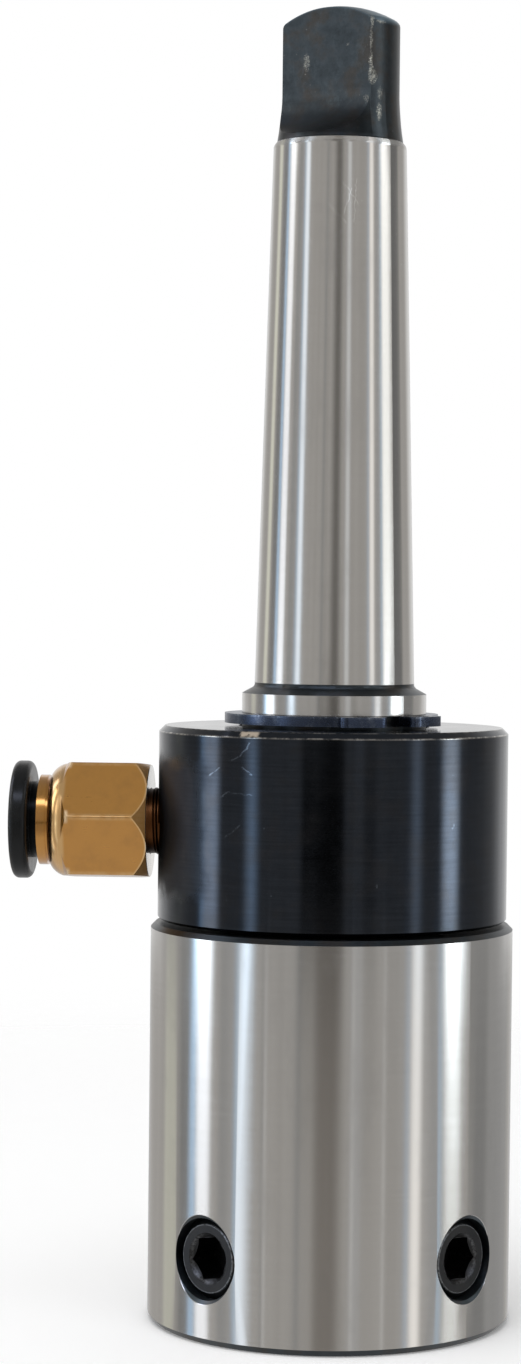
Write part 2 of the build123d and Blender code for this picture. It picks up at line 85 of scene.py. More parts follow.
class Socket:
    """A node's output, on which shader maths is written as plain Python."""

    def __init__(self, sheet: NodeSheet, output: bpy.types.NodeSocket) -> None:
        """Keeps the output and the sheet it belongs to."""
        self.sheet = sheet
        self.output = output

    def maths(self, operation: str, *others: Socket | float) -> Socket:
        """Returns the value of a new Math node that has this value as its first operand."""
        return self.sheet.maths(operation, self, *others)

    def __add__(self, other: Socket | float) -> Socket:
        """Adds."""
        return self.maths("ADD", other)

    def __radd__(self, other: float) -> Socket:
        """Adds, reflected."""
        return self.maths("ADD", other)

    def __sub__(self, other: Socket | float) -> Socket:
        """Subtracts."""
        return self.maths("SUBTRACT", other)

    def __rsub__(self, other: float) -> Socket:
        """Subtracts, reflected."""
        return self.sheet.maths("SUBTRACT", other, self)

    def __mul__(self, other: Socket | float) -> Socket:
        """Multiplies."""
        return self.maths("MULTIPLY", other)

    def __rmul__(self, other: float) -> Socket:
        """Multiplies, reflected."""
        return self.maths("MULTIPLY", other)

    def __truediv__(self, other: Socket | float) -> Socket:
        """Divides."""
        return self.maths("DIVIDE", other)

    def __rtruediv__(self, other: float) -> Socket:
        """Divides, reflected."""
        return self.sheet.maths("DIVIDE", other, self)

    def __abs__(self) -> Socket:
        """Drops the sign."""
        return self.maths("ABSOLUTE")

    def most(self, other: Socket | float) -> Socket:
        """Takes the larger of two values."""
        return self.maths("MAXIMUM", other)

    def rise(self, low: float, high: float) -> Socket:
        """Rises smoothly from 0 at one value to 1 at another.

        Args:
            low: Where it is 0.
            high: Where it is 1, which may be the smaller one.

        Returns:
            A value from 0 to 1.
        """
        if low > high:
            return 1.0 - self.rise(high, low)
        return self.sheet.node(
            "ShaderNodeMapRange",
            {"interpolation_type": "SMOOTHSTEP"},
            {"Value": self, "From Min": low, "From Max": high, "To Min": 0.0, "To Max": 1.0},
        )

    def within(self, low: float, high: float, soft: float) -> Socket:
        """Returns 1 between two ends and 0 outside them, with a change of some width at each end."""
        return self.rise(low - soft / 2, low + soft / 2) * self.rise(high + soft / 2, high - soft / 2)

    def blend(self, first: Socket | Colour, second: Socket | Colour) -> Socket:
        """Mixes two colours, the first where this value is 0 and the second where it is 1."""
        sides = [(*side, 1.0) if isinstance(side, tuple) else side for side in (first, second)]
        return self.sheet.node("ShaderNodeMix", {"data_type": "RGBA"}, {0: self, 6: sides[0], 7: sides[1]}, 2)

    def pick(self, first: Socket | float, second: Socket | float) -> Socket:
        """Mixes two values, the first where this value is 0 and the second where it is 1."""
        return self.sheet.node("ShaderNodeMix", {"data_type": "FLOAT"}, {0: self, 2: first, 3: second})

    def scaled(self, colour: Socket | Colour) -> Socket:
        """Returns a colour multiplied by this value."""
        return self.sheet.vector_maths("SCALE", colour, self)


class NodeSheet:
    """The node tree of one material or of the world."""

    def __init__(self, tree: bpy.types.NodeTree) -> None:
        """Clears the tree."""
        tree.nodes.clear()
        self.tree = tree

    def node(
        self,
        kind: str,
        settings: Mapping[str, object] | None = None,
        inputs: Mapping[str | int, object] | None = None,
        output: str | int = 0,
    ) -> Socket | None:
        """Adds a node.

        Args:
            kind: The node's type.
            settings: Its settings, which are set first.
            inputs: The values or links of its sockets, by name or number.
            output: The output that is wanted.

        Returns:
            That output, or None where the node has none.
        """
        made = self.tree.nodes.new(kind)
        for name, value in (settings or {}).items():
            setattr(made, name, value)
        for name, value in (inputs or {}).items():
            if isinstance(value, Socket):
                self.tree.links.new(value.output, made.inputs[name])
            else:
                made.inputs[name].default_value = value
        return Socket(self, made.outputs[output]) if len(made.outputs) else None

    def maths(self, operation: str, *operands: Socket | float) -> Socket:
        """Returns the value of a new Math node."""
        return self.node("ShaderNodeMath", {"operation": operation}, dict(enumerate(operands)))

    def vector_maths(self, operation: str, *operands: object, output: int = 0) -> Socket:
        """Adds a Vector Math node.

        Args:
            operation: The node's operation.
            operands: Its operands in order, vectors except for a SCALE's last one.
            output: 0 for the vector and 1 for the value.

        Returns:
            The wanted output.
        """
        places = (0, 3) if operation == "SCALE" else range(len(operands))
        inputs = dict(zip(places, operands))
        return self.node("ShaderNodeVectorMath", {"operation": operation}, inputs, output)

    def vector(self, x: Socket | float, y: Socket | float, z: Socket | float) -> Socket:
        """Joins three values into a vector."""
        return self.node("ShaderNodeCombineXYZ", None, {0: x, 1: y, 2: z})

    def noise(self, where: Socket, grain: Grain) -> Socket:
        """Adds a noise texture.

        Args:
            where: Where it is read.
            grain: The noise.

        Returns:
            A value about 0.5.
        """
        if grain.stretch is not None:
            where = self.vector_maths("MULTIPLY", where, grain.stretch)
        return self.node(
            "ShaderNodeTexNoise",
            {"noise_dimensions": "3D"},
            {"Vector": where, "Scale": grain.density, "Detail": grain.detail, "Roughness": grain.harshness},
        )


class Place:
    """Where a point of the surface is, in the frame of the model and in millimetres."""

    def __init__(self, sheet: NodeSheet, front: float) -> None:
        """Works out the point's coordinates.

        Args:
            sheet: The material's nodes.
            front: The plan angle that azimuths are measured from.
        """
        self.sheet = sheet
        metres = sheet.node("ShaderNodeTexCoord", None, None, "Object")
        self.point = sheet.vector_maths("SCALE", metres, 1 / MM)
        self.height = self.along(UP)
        ahead = self.toward(front)
        self.aside = self.toward(front + 90.0)
        self.radius = self.reach(ahead, self.aside)
        self.azimuth = self.aside.maths("ARCTAN2", ahead) * math.degrees(1.0)

    def along(self, direction: Vector) -> Socket:
        """Returns how far along a direction the point is."""
        return self.sheet.vector_maths("DOT_PRODUCT", self.point, tuple(direction), output=1)

    def toward(self, angle: float) -> Socket:
        """Returns how far along the level direction at a plan angle the point is."""
        return self.along(facing(angle))

    def reach(self, first: Socket, second: Socket) -> Socket:
        """Returns the length of a vector with two parts at right angles."""
        return self.sheet.vector_maths("LENGTH", self.sheet.vector(first, second, 0.0), output=1)

    def noise(self, grain: Grain) -> Socket:
        """Returns a noise over the surface."""
        return self.sheet.noise(self.point, grain)


@dataclass
class Look:
    """What a finish says of a surface: its colour, gloss, fine relief in millimetres and film of oil."""

    colour: Socket | Colour
    roughness: Socket | float
    metallic: Socket | float
    relief: Socket | float = 0.0
    film: Socket | float = 0.0

    def tint(self, mask: Socket, colour: Socket | Colour) -> None:
        """Covers the surface with a colour where the mask is 1."""
        self.colour = mask.blend(self.colour, colour)

    def shade(self, share: Socket) -> None:
        """Multiplies the colour by a value."""
        self.colour = share.scaled(self.colour)

    def over(self, under: Look, mask: Socket) -> Look:
        """Lays this look over another one.

        Args:
            under: The look beneath.
            mask: 1 where this look covers.

        Returns:
            The joined look.
        """
        same = self.metallic == under.metallic
        return Look(
            mask.blend(under.colour, self.colour),
            mask.pick(under.roughness, self.roughness),
            self.metallic if same else mask.pick(under.metallic, self.metallic),
            mask.pick(under.relief, self.relief),
        )


class Marks(Enum):
    """How strongly a tool's fine rings around the piece draw its reflections out along the spindle axis."""

    NONE = 0.0
    TURNED = 0.5
    GROUND = 0.65


@dataclass(frozen=True)
class GroundSteel:
    """Bare steel with the fine rings that a grinding wheel leaves."""

    colour: Colour = (0.60, 0.588, 0.568)
    roughness: float = 0.14
    stain: float = 0.06
    line_height: float = 0.0009
    band_share: float = 3.0
    line_shade: float = 0.05
    band_shade: float = 0.03
    line_dulling: float = 0.07
    stain_dulling: float = 0.05
    lines: Grain = Grain(3.2, 3.0, 0.7, (0.03, 0.03, 1.0))
    bands: Grain = Grain(0.35, stretch=(0.06, 0.06, 1.0))
    smears: Grain = Grain(0.16, 4.0, 0.6, (1.0, 1.0, 0.45))

    def look(self, place: Place) -> Look:
        """Works out the finish.

        Args:
            place: Where the point is.

        Returns:
            The finish's look.
        """
        line, band, smear = place.noise(self.lines), place.noise(self.bands), place.noise(self.smears)
        shade = 1.0 - self.stain * smear.rise(0.5, 0.78)
        shade = shade + self.line_shade * (line - 0.5) + self.band_shade * (band - 0.5)
        roughness = self.roughness + self.line_dulling * (line - 0.5)
        roughness = roughness + self.stain_dulling * smear.rise(0.48, 0.75)
        relief = line * self.line_height + band * self.line_height * self.band_share
        return Look(shade.scaled(self.colour), roughness, 1.0, relief)


@dataclass(frozen=True)
class BlackOxide:
    """Blackened steel, a little mottled, with steel showing where it is rubbed through."""

    colour: Colour = (0.050, 0.057, 0.068)
    brown: Colour = (0.056, 0.052, 0.048)
    bare: Colour = (0.36, 0.37, 0.38)
    roughness: float = 0.26
    mottle: float = 0.22
    line_height: float = 0.0007
    line_shade: float = 0.08
    blotch_share: float = 0.8
    grit_shade: float = 0.16
    grit_height: float = 0.0006
    cloud_dulling: float = 0.10
    grit_dulling: float = 0.05
    speck_strength: float = 0.35
    bare_depth: float = 0.002
    lines: Grain = Grain(3.0, 2.0, 0.6, (0.04, 0.04, 1.0))
    clouds: Grain = Grain(0.22, 4.0, 0.6)
    blotches: Grain = Grain(0.85, 4.0, 0.7)
    grit: Grain = Grain(4.0)
    specks: Grain = Grain(1.7, 1.0)

    def look(self, place: Place, bright_marks: Socket | None = None) -> Look:
        """Works out the finish.

        Args:
            place: Where the point is.
            bright_marks: 1 where the black is rubbed through, and on the clamp screws where painted
                highlights brighten their rims.

        Returns:
            The finish's look.
        """
        line, grit = place.noise(self.lines), place.noise(self.grit)
        cloud, blotch = place.noise(self.clouds), place.noise(self.blotches)
        specks = place.noise(self.specks).rise(0.79, 0.85) * self.speck_strength
        shade = 1.0 + self.mottle * (cloud - 0.5 + (blotch - 0.5) * self.blotch_share)
        shade = shade + self.grit_shade * (grit - 0.5) + self.line_shade * (line - 0.5)
        cast = (cloud.rise(0.45, 0.65) * self.mottle).blend(self.colour, self.brown)
        # Bare steel where rubbed through, and painted highlights where the clamp screws pass them.
        bared_and_highlit = specks if bright_marks is None else bright_marks.most(specks)
        roughness = self.roughness + self.cloud_dulling * (cloud - 0.5) + self.grit_dulling * (grit - 0.5)
        relief = line * self.line_height + grit * self.grit_height - bared_and_highlit * self.bare_depth
        return Look(bared_and_highlit.blend(shade.scaled(cast), self.bare), roughness, 1.0, relief)


@dataclass(frozen=True)
class TurnedBrass:
    """Bar brass: drawn flats with faint lines and turned rounds, dulled a little by handling."""

    colour: Colour = (0.60, 0.280, 0.052)
    dull: Colour = (0.40, 0.185, 0.04)
    # Colour of painted highlights.
    bright: Colour = (0.88, 0.62, 0.30)
    roughness: float = 0.30
    line_height: float = 0.0016
    pit_depth: float = 0.004
    cloud_strength: float = 0.35
    pit_strength: float = 0.4
    cloud_dulling: float = 0.10
    line_dulling: float = 0.08
    clouds: Grain = Grain(0.28, 4.0, 0.62)
    pits: Grain = Grain(2.2)

    def look(self, place: Place, lines: Socket, edge: Socket | None = None) -> Look:
        """Works out the finish.

        Args:
            place: Where the point is.
            lines: The noise of the tool's lines.
            edge: 1 where a painted highlight brightens the surface.

        Returns:
            The finish's look.
        """
        cloud = place.noise(self.clouds)
        pits = place.noise(self.pits).rise(0.72, 0.8)
        dulled = cloud.rise(0.42, 0.74) * self.cloud_strength + pits * self.pit_strength
        colour = dulled.blend(self.colour, self.dull)
        if edge is not None:
            colour = edge.blend(colour, self.bright)
        roughness = self.roughness + self.cloud_dulling * (cloud - 0.5) + self.line_dulling * (lines - 0.5)
        return Look(colour, roughness, 1.0, lines * self.line_height - pits * self.pit_depth)


@dataclass(frozen=True)
class SpringSteel:
    """Tumbled spring steel with a blue-grey temper."""

    colour: Colour = (0.058, 0.074, 0.116)
    # Colour of painted glints.
    glint_colour: Colour = (0.27, 0.31, 0.38)
    roughness: float = 0.27
    cloud_shade: float = 0.72
    cloud_strength: float = 0.6
    grit_dulling: float = 0.12
    grit_height: float = 0.002
    clouds: Grain = Grain(0.5, 3.0, 0.6)
    grit: Grain = Grain(5.0)

    def look(self, place: Place, edge: Socket | None = None) -> Look:
        """Works out the finish.

        Args:
            place: Where the point is.
            edge: 1 where painted glints brighten the edges.

        Returns:
            The finish's look.
        """
        cloud, grit = place.noise(self.clouds), place.noise(self.grit)
        dark = tuple(c * self.cloud_shade for c in self.colour)
        colour = (cloud.rise(0.35, 0.75) * self.cloud_strength).blend(self.colour, dark)
        if edge is not None:
            colour = edge.blend(colour, self.glint_colour)
        return Look(colour, self.roughness + self.grit_dulling * (grit - 0.5), 1.0, grit * self.grit_height)


@dataclass(frozen=True)
class MouldedPolymer:
    """A moulded plastic or rubber with a fine skin texture."""

    colour: Colour
    roughness: float
    skin_height: float = 0.003
    dust: Colour = (0.20, 0.20, 0.20)
    dust_amount: float = 0.05
    cloud_dulling: float = 0.12
    skin_dulling: float = 0.05
    skin: Grain = Grain(3.0, 3.0)
    clouds: Grain = Grain(0.4, 3.0, 0.6)

    def look(self, place: Place) -> Look:
        """Works out the finish.

        Args:
            place: Where the point is.

        Returns:
            The finish's look.
        """
        skin, cloud = place.noise(self.skin), place.noise(self.clouds)
        dusty = cloud.rise(0.45, 0.8) * self.dust_amount
        roughness = self.roughness + self.cloud_dulling * (cloud - 0.5) + self.skin_dulling * (skin - 0.5)
        return Look(dusty.blend(self.colour, self.dust), roughness, 0.0, skin * self.skin_height)


class Bench:
    """Makes materials and hands them to the pieces."""

    FRONT = -47.8
    FILM_ROUGHNESS = 0.14
    RINGS_AROUND = 0.25

    def material(
        self,
        name: str,
        paint: Callable[[Place], Look],
        marks: Marks = Marks.NONE,
        specular: float = 0.5,
    ) -> bpy.types.Material:
        """Makes a material.

        Args:
            name: The material's name.
            paint: Works out its look.
            marks: How strong the tool's rings around the piece are.
            specular: The specular level of what isn't metal.

        Returns:
            The material.
        """
        made = bpy.data.materials.new(name)
        made.use_nodes = True
        sheet = NodeSheet(made.node_tree)
        look = paint(Place(sheet, self.FRONT))
        inputs: dict[str | int, object] = {
            "Base Color": look.colour,
            "Roughness": look.roughness,
            "Metallic": look.metallic,
            "Specular IOR Level": specular,
            "Coat Weight": look.film,
            "Coat Roughness": self.FILM_ROUGHNESS,
            "Anisotropic": marks.value,
            "Anisotropic Rotation": self.RINGS_AROUND,
        }
        bump = {"Strength": 1.0, "Distance": MM, "Height": look.relief}
        inputs["Normal"] = sheet.node("ShaderNodeBump", None, bump)
        shader = sheet.node("ShaderNodeBsdfPrincipled", None, inputs)
        sheet.node("ShaderNodeOutputMaterial", None, {"Surface": shader})
        return made

    @staticmethod
    def dress(node: str, material: bpy.types.Material) -> None:
        """Gives a CAD node its material.

        Args:
            node: The node's name.
            material: The material.
        """
        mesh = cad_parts[node].data
        mesh.materials.clear()
        mesh.materials.append(material)
        log.info("dressed %s in %s", node, material.name)

    @staticmethod
    def piece(
        name: str,
        vertices: Sequence[Vector],
        faces: Sequence[Sequence[int]],
        material: bpy.types.Material,
        body: str,
        slot: str,
    ) -> bpy.types.Object:
        """Makes a piece of the model from a mesh in millimetres.

        Args:
            name: The piece's name.
            vertices: Its points.
            faces: Its faces.
            material: Its material.
            body: The body it rides on.
            slot: The record's material slot; not used.

        Returns:
            The piece.
        """
        mesh = bpy.data.meshes.new(name)
        mesh.from_pydata([tuple(v * MM) for v in vertices], [], faces)
        mesh.validate()
        mesh.shade_smooth()
        mesh.materials.append(material)
        made = bpy.data.objects.new(name, mesh)
        bpy.context.scene.collection.objects.link(made)
        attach(made, body)
        log.info("made %s, %d faces", name, len(faces))
        return made


def tube_faces(rings: int, sides: int, flipped: bool = False) -> list[tuple[int, ...]]:
    """Joins rings of points into a tube that is closed at both ends.

    Args:
        rings: How many rings there are.
        sides: How many points a ring has.
        flipped: Whether the faces are wound the other way round.

    Returns:
        The faces.
    """
    faces = []
    for ring in range(rings - 1):
        for side in range(sides):
            a, b = ring * sides + side, ring * sides + (side + 1) % sides
            faces.append((a, a + sides, b + sides, b) if flipped else (a, b, b + sides, a + sides))
    first, last = tuple(range(sides)), tuple(range((rings - 1) * sides, rings * sides))
    return faces + ([first, last[::-1]] if flipped else [first[::-1], last])


@dataclass(frozen=True)
class Scratch:
    """A hairline scratch on a round surface, from one azimuth and height to another."""

    start: tuple[float, float]
    end: tuple[float, float]
    width: float = 0.12
    strength: float = 0.6
    bend: float = 0.9
    end_fade: float = 0.3
    core: float = 0.3

    def mask(self, place: Place, radius: float, wobble: Socket) -> Socket:
        """Works out how deep the scratch is.

        Args:
            place: Where the point is.
            radius: The surface's radius.
            wobble: Noise that bends the scratch.

        Returns:
            A value from 0 to the scratch's strength.
        """
        per_degree = math.radians(radius)
        run = (self.end[0] - self.start[0]) * per_degree
        rise = self.end[1] - self.start[1]
        length = math.hypot(run, rise)
        aside = (place.azimuth - self.start[0]) * per_degree
        above = place.height - self.start[1]
        along = (aside * run + above * rise) / length
        across = abs((aside * rise - above * run) / length + (wobble - 0.5) * self.bend)
        ends = along.within(0.0, length, self.end_fade)
        return across.rise(self.width, self.width * self.core) * ends * self.strength


@dataclass(frozen=True)
class Rub:
    """A patch where the black is rubbed or knocked through, placed as seen from the front."""

    aside: float
    height: float
    half_width: float
    half_height: float
    strength: float = 0.8

    def mask(self, aside: Socket, height: Socket, speckle: Socket) -> Socket:
        """Works out how far the patch is rubbed through.

        Args:
            aside: How far to the right the point is, seen from the front.
            height: The point's height.
            speckle: Noise that breaks the patch up.

        Returns:
            A value from 0 to the patch's strength.
        """
        across = (aside - self.aside) / self.half_width
        upright = (height - self.height) / self.half_height
        near = (1.0 - (across * across + upright * upright)).most(0.0)
        return near.rise(0.0, 0.5) * (near * 0.11 + speckle).rise(0.53, 0.68) * self.strength


@dataclass
class Arbor:
    """The one-piece arbor: taper shank with its tang, journal, and body with the cutter socket."""

    chamfer: float = 1.0
    body_height: float = 60.1
    top_chamfer: float = 0.7
    body_radius: float = 27.5
    socket_radius: float = 16.0
    socket_depth: float = 45.0
    ring_groove_top: float = 92.0
    journal_radius: float = 14.0
    journal_edge: float = 94.97
    taper_start: float = 96.52
    taper_end: float = 178.0
    taper_break: float = 177.07
    break_curve: Colour = (0.16, 0.275, 0.433)
    tang_angle: float = -82.0
    tang_end: float = 198.57
    tang_dome_radius: float = 17.0
    tang_half_thickness: float = 3.95
    tang_root: float = 184.5
    rim_start: float = 190.0
    rim_width: float = 0.8
    screw_height: float = 12.5
    screw_angles: tuple[float, float] = (-90.0, 0.0)
    screw_hole_radius: float = 7.0
    screw_hole_start: float = 20.0
    black_shade: float = 0.82
    # Painted sheen: the tang's milled flats are made lighter than the rest of the black.
    flat_sheen: float = 0.38
    # Painted shade: the tang's run-out below the flats is made darker.
    runout_shade: float = 0.42
    # Painted bounce light: the black inside the clamp screws' holes is made lighter.
    hole_fill_light: float = 0.9
    # Painted highlight round the tang's dome: its strength.
    rim_strength: float = 0.9
    smudge_strength: float = 0.35
    break_dulling: float = 0.11
    # Painted highlight round the tang's dome: its colour.
    rim_colour: Colour = (0.20, 0.28, 0.34)
    smudge_colour: Colour = (0.115, 0.145, 0.16)
    scratch_colour: Colour = (0.92, 0.92, 0.92)
    scratch_radius: float = 10.3
    wander_width: float = 0.9
    faint_strength: float = 0.12
    speckle: Grain = Grain(2.3, 5.0, 0.9)
    fine_speckle: Grain = Grain(5.2, 3.0, 0.8)
    rub_wander: Grain = Grain(1.1, 3.0, 0.7, (0.0, 0.0, 1.0))
    faint_wear: Grain = Grain(0.8, 4.0, 0.75)
    smudges: Grain = Grain(0.45, 5.0, 0.75, (1.0, 1.0, 0.6))
    scratch_wobble: Grain = Grain(0.8, 3.0, 0.6)
    rubs: tuple[Rub, ...] = (
        Rub(4.45, 197.2, 0.75, 0.9, 0.6),
        Rub(4.55, 195.9, 0.40, 2.0, 0.7),
        Rub(4.45, 192.8, 0.30, 2.2, 0.4),
        Rub(4.45, 189.0, 0.40, 2.4, 0.8),
        Rub(4.70, 187.2, 0.80, 1.5, 0.7),
        Rub(-5.2, 190.1, 0.65, 1.6, 0.5),
        Rub(5.9, 195.4, 0.90, 0.35, 0.5),
        Rub(0.9, 192.2, 0.26, 0.30, 0.4),
        Rub(3.8, 183.8, 0.50, 0.9, 0.3),
        Rub(5.75, 182.0, 0.50, 1.7, 0.6),
        Rub(5.85, 184.8, 0.50, 1.2, 0.3),
    )
    scratches: tuple[Scratch, ...] = (
        Scratch((10.0, 170.2), (4.0, 166.4), 0.10, 0.5),
        Scratch((14.0, 171.6), (12.0, 165.2), 0.10, 0.4),
        Scratch((2.0, 171.2), (16.0, 167.9), 0.08, 0.35),
        Scratch((-10.0, 168.0), (6.0, 165.0), 0.08, 0.3),
        Scratch((-26.0, 163.2), (-22.0, 162.0), 0.08, 0.4),
    )
    ground: GroundSteel = GroundSteel()
    oxide: BlackOxide = BlackOxide((0.056, 0.067, 0.075), bare=(0.60, 0.59, 0.52), roughness=0.38, mottle=0.9)

    def ground_mask(self, place: Place) -> Socket:
        """Finds the surfaces that were ground after blackening.

        Args:
            place: Where the point is.

        Returns:
            A mask.
        """
        height, radius = place.height, place.radius
        taper = height.within(self.taper_start + 0.05, self.taper_end, 0.08)
        journal = height.within(self.ring_groove_top, self.journal_edge, 0.05)
        journal = journal * radius.rise(self.journal_radius - 0.2, self.journal_radius - 0.05)
        body = height.within(self.chamfer, self.body_height - self.top_chamfer, 0.05)
        body = body * radius.rise(self.body_radius - 0.08, self.body_radius - 0.05)
        socket = radius.rise(self.socket_radius + 0.3, self.socket_radius + 0.2)
        socket = socket * height.within(0.4, self.socket_depth - 0.1, 0.1)
        return taper.most(journal).most(body).most(socket)

    def tang_wear(self, place: Place) -> Socket:
        """Works out where the tang is rubbed bright.

        Args:
            place: Where the point is.

        Returns:
            A value from 0 to 1.
        """
        speckle = place.noise(self.speckle) * 0.5 + place.noise(self.fine_speckle) * 0.5
        wander = (place.noise(self.rub_wander) - 0.5) * self.wander_width
        bright_marks = place.noise(self.faint_wear).rise(0.62, 0.85) * self.faint_strength
        for rub in self.rubs:
            bright_marks = bright_marks.most(rub.mask(place.aside + wander, place.height, speckle))
        return bright_marks * place.height.rise(self.taper_end + 0.3, self.taper_end + 0.8)

    def screw_hole(self, place: Place, angle: float) -> Socket:
        """Finds the inside of a clamp screw's hole.

        Args:
            place: Where the point is.
            angle: The hole's plan angle.

        Returns:
            A mask.
        """
        reach = place.reach(place.toward(angle + 90.0), place.height - self.screw_height)
        hole = reach.rise(self.screw_hole_radius + 0.2, self.screw_hole_radius - 0.2)
        return hole * place.toward(angle).rise(self.screw_hole_start, self.screw_hole_start + 2.0)

    def paint_black(self, place: Place) -> Look:
        """Works out the look of the blackened surfaces, with a painted sheen on the tang's flats, painted
        shade on their run-out, painted bounce light in the clamp screws' holes and a painted highlight round
        the tang's dome.

        Args:
            place: Where the point is.

        Returns:
            The look.
        """
        black = self.oxide.look(place, self.tang_wear(place))
        width, dome = place.toward(self.tang_angle + 90.0), self.tang_dome_radius
        from_centre = place.reach(width, place.height - (self.tang_end - dome))
        # Painted highlight round the tang's dome.
        rim_highlight = from_centre.rise(dome - self.rim_width, dome - 0.05)
        rim_highlight = rim_highlight * place.height.rise(self.rim_start, self.rim_start + 2.0)
        off, half, root = abs(place.toward(self.tang_angle)), self.tang_half_thickness, self.tang_root
        # Mask of the tang's milled flats, which get a painted sheen and smudges.
        flat = off.rise(half - 0.05, half - 0.01) * off.rise(half + 1.45, half)
        flat = flat * place.height.rise(root - 4.0, root)
        # Painted shade on the run-out below the tang's flats.
        runout = off.rise(half - 0.02, half + 0.2)
        runout = runout * place.height.within(self.taper_end + 0.4, root + 0.4, 0.8)
        # Painted bounce light inside the clamp screws' holes.
        front, side = (self.screw_hole(place, angle) for angle in self.screw_angles)
        painted_hole_light = front.most(side) * self.hole_fill_light
        black.shade(self.black_shade + flat * self.flat_sheen - runout * self.runout_shade + painted_hole_light)
        smudge = place.noise(self.smudges).rise(0.5, 0.72) * flat
        black.tint(smudge * self.smudge_strength, self.smudge_colour)
        black.tint(rim_highlight * self.rim_strength, self.rim_colour)
        return black

    def paint(self, place: Place) -> Look:
        """Works out the arbor's look.

        Args:
            place: Where the point is.

        Returns:
            The look.
        """
        steel = self.ground.look(place)
        wobble = place.noise(self.scratch_wobble)
        for scratch in self.scratches:
            steel.tint(scratch.mask(place, self.scratch_radius, wobble), self.scratch_colour)
        past = (place.height - self.taper_break).most(0.0)
        first, second, third = self.break_curve
        steel.relief = steel.relief + past * (first + past * (second + past * third))
        steel.roughness = steel.roughness + past.rise(0.0, 0.45) * self.break_dulling
        return steel.over(self.paint_black(place), self.ground_mask(place))

    def dress(self, bench: Bench) -> None:
        """Dresses the arbor."""
        bench.dress("arbor", bench.material("arbor_steel", self.paint, Marks.GROUND))


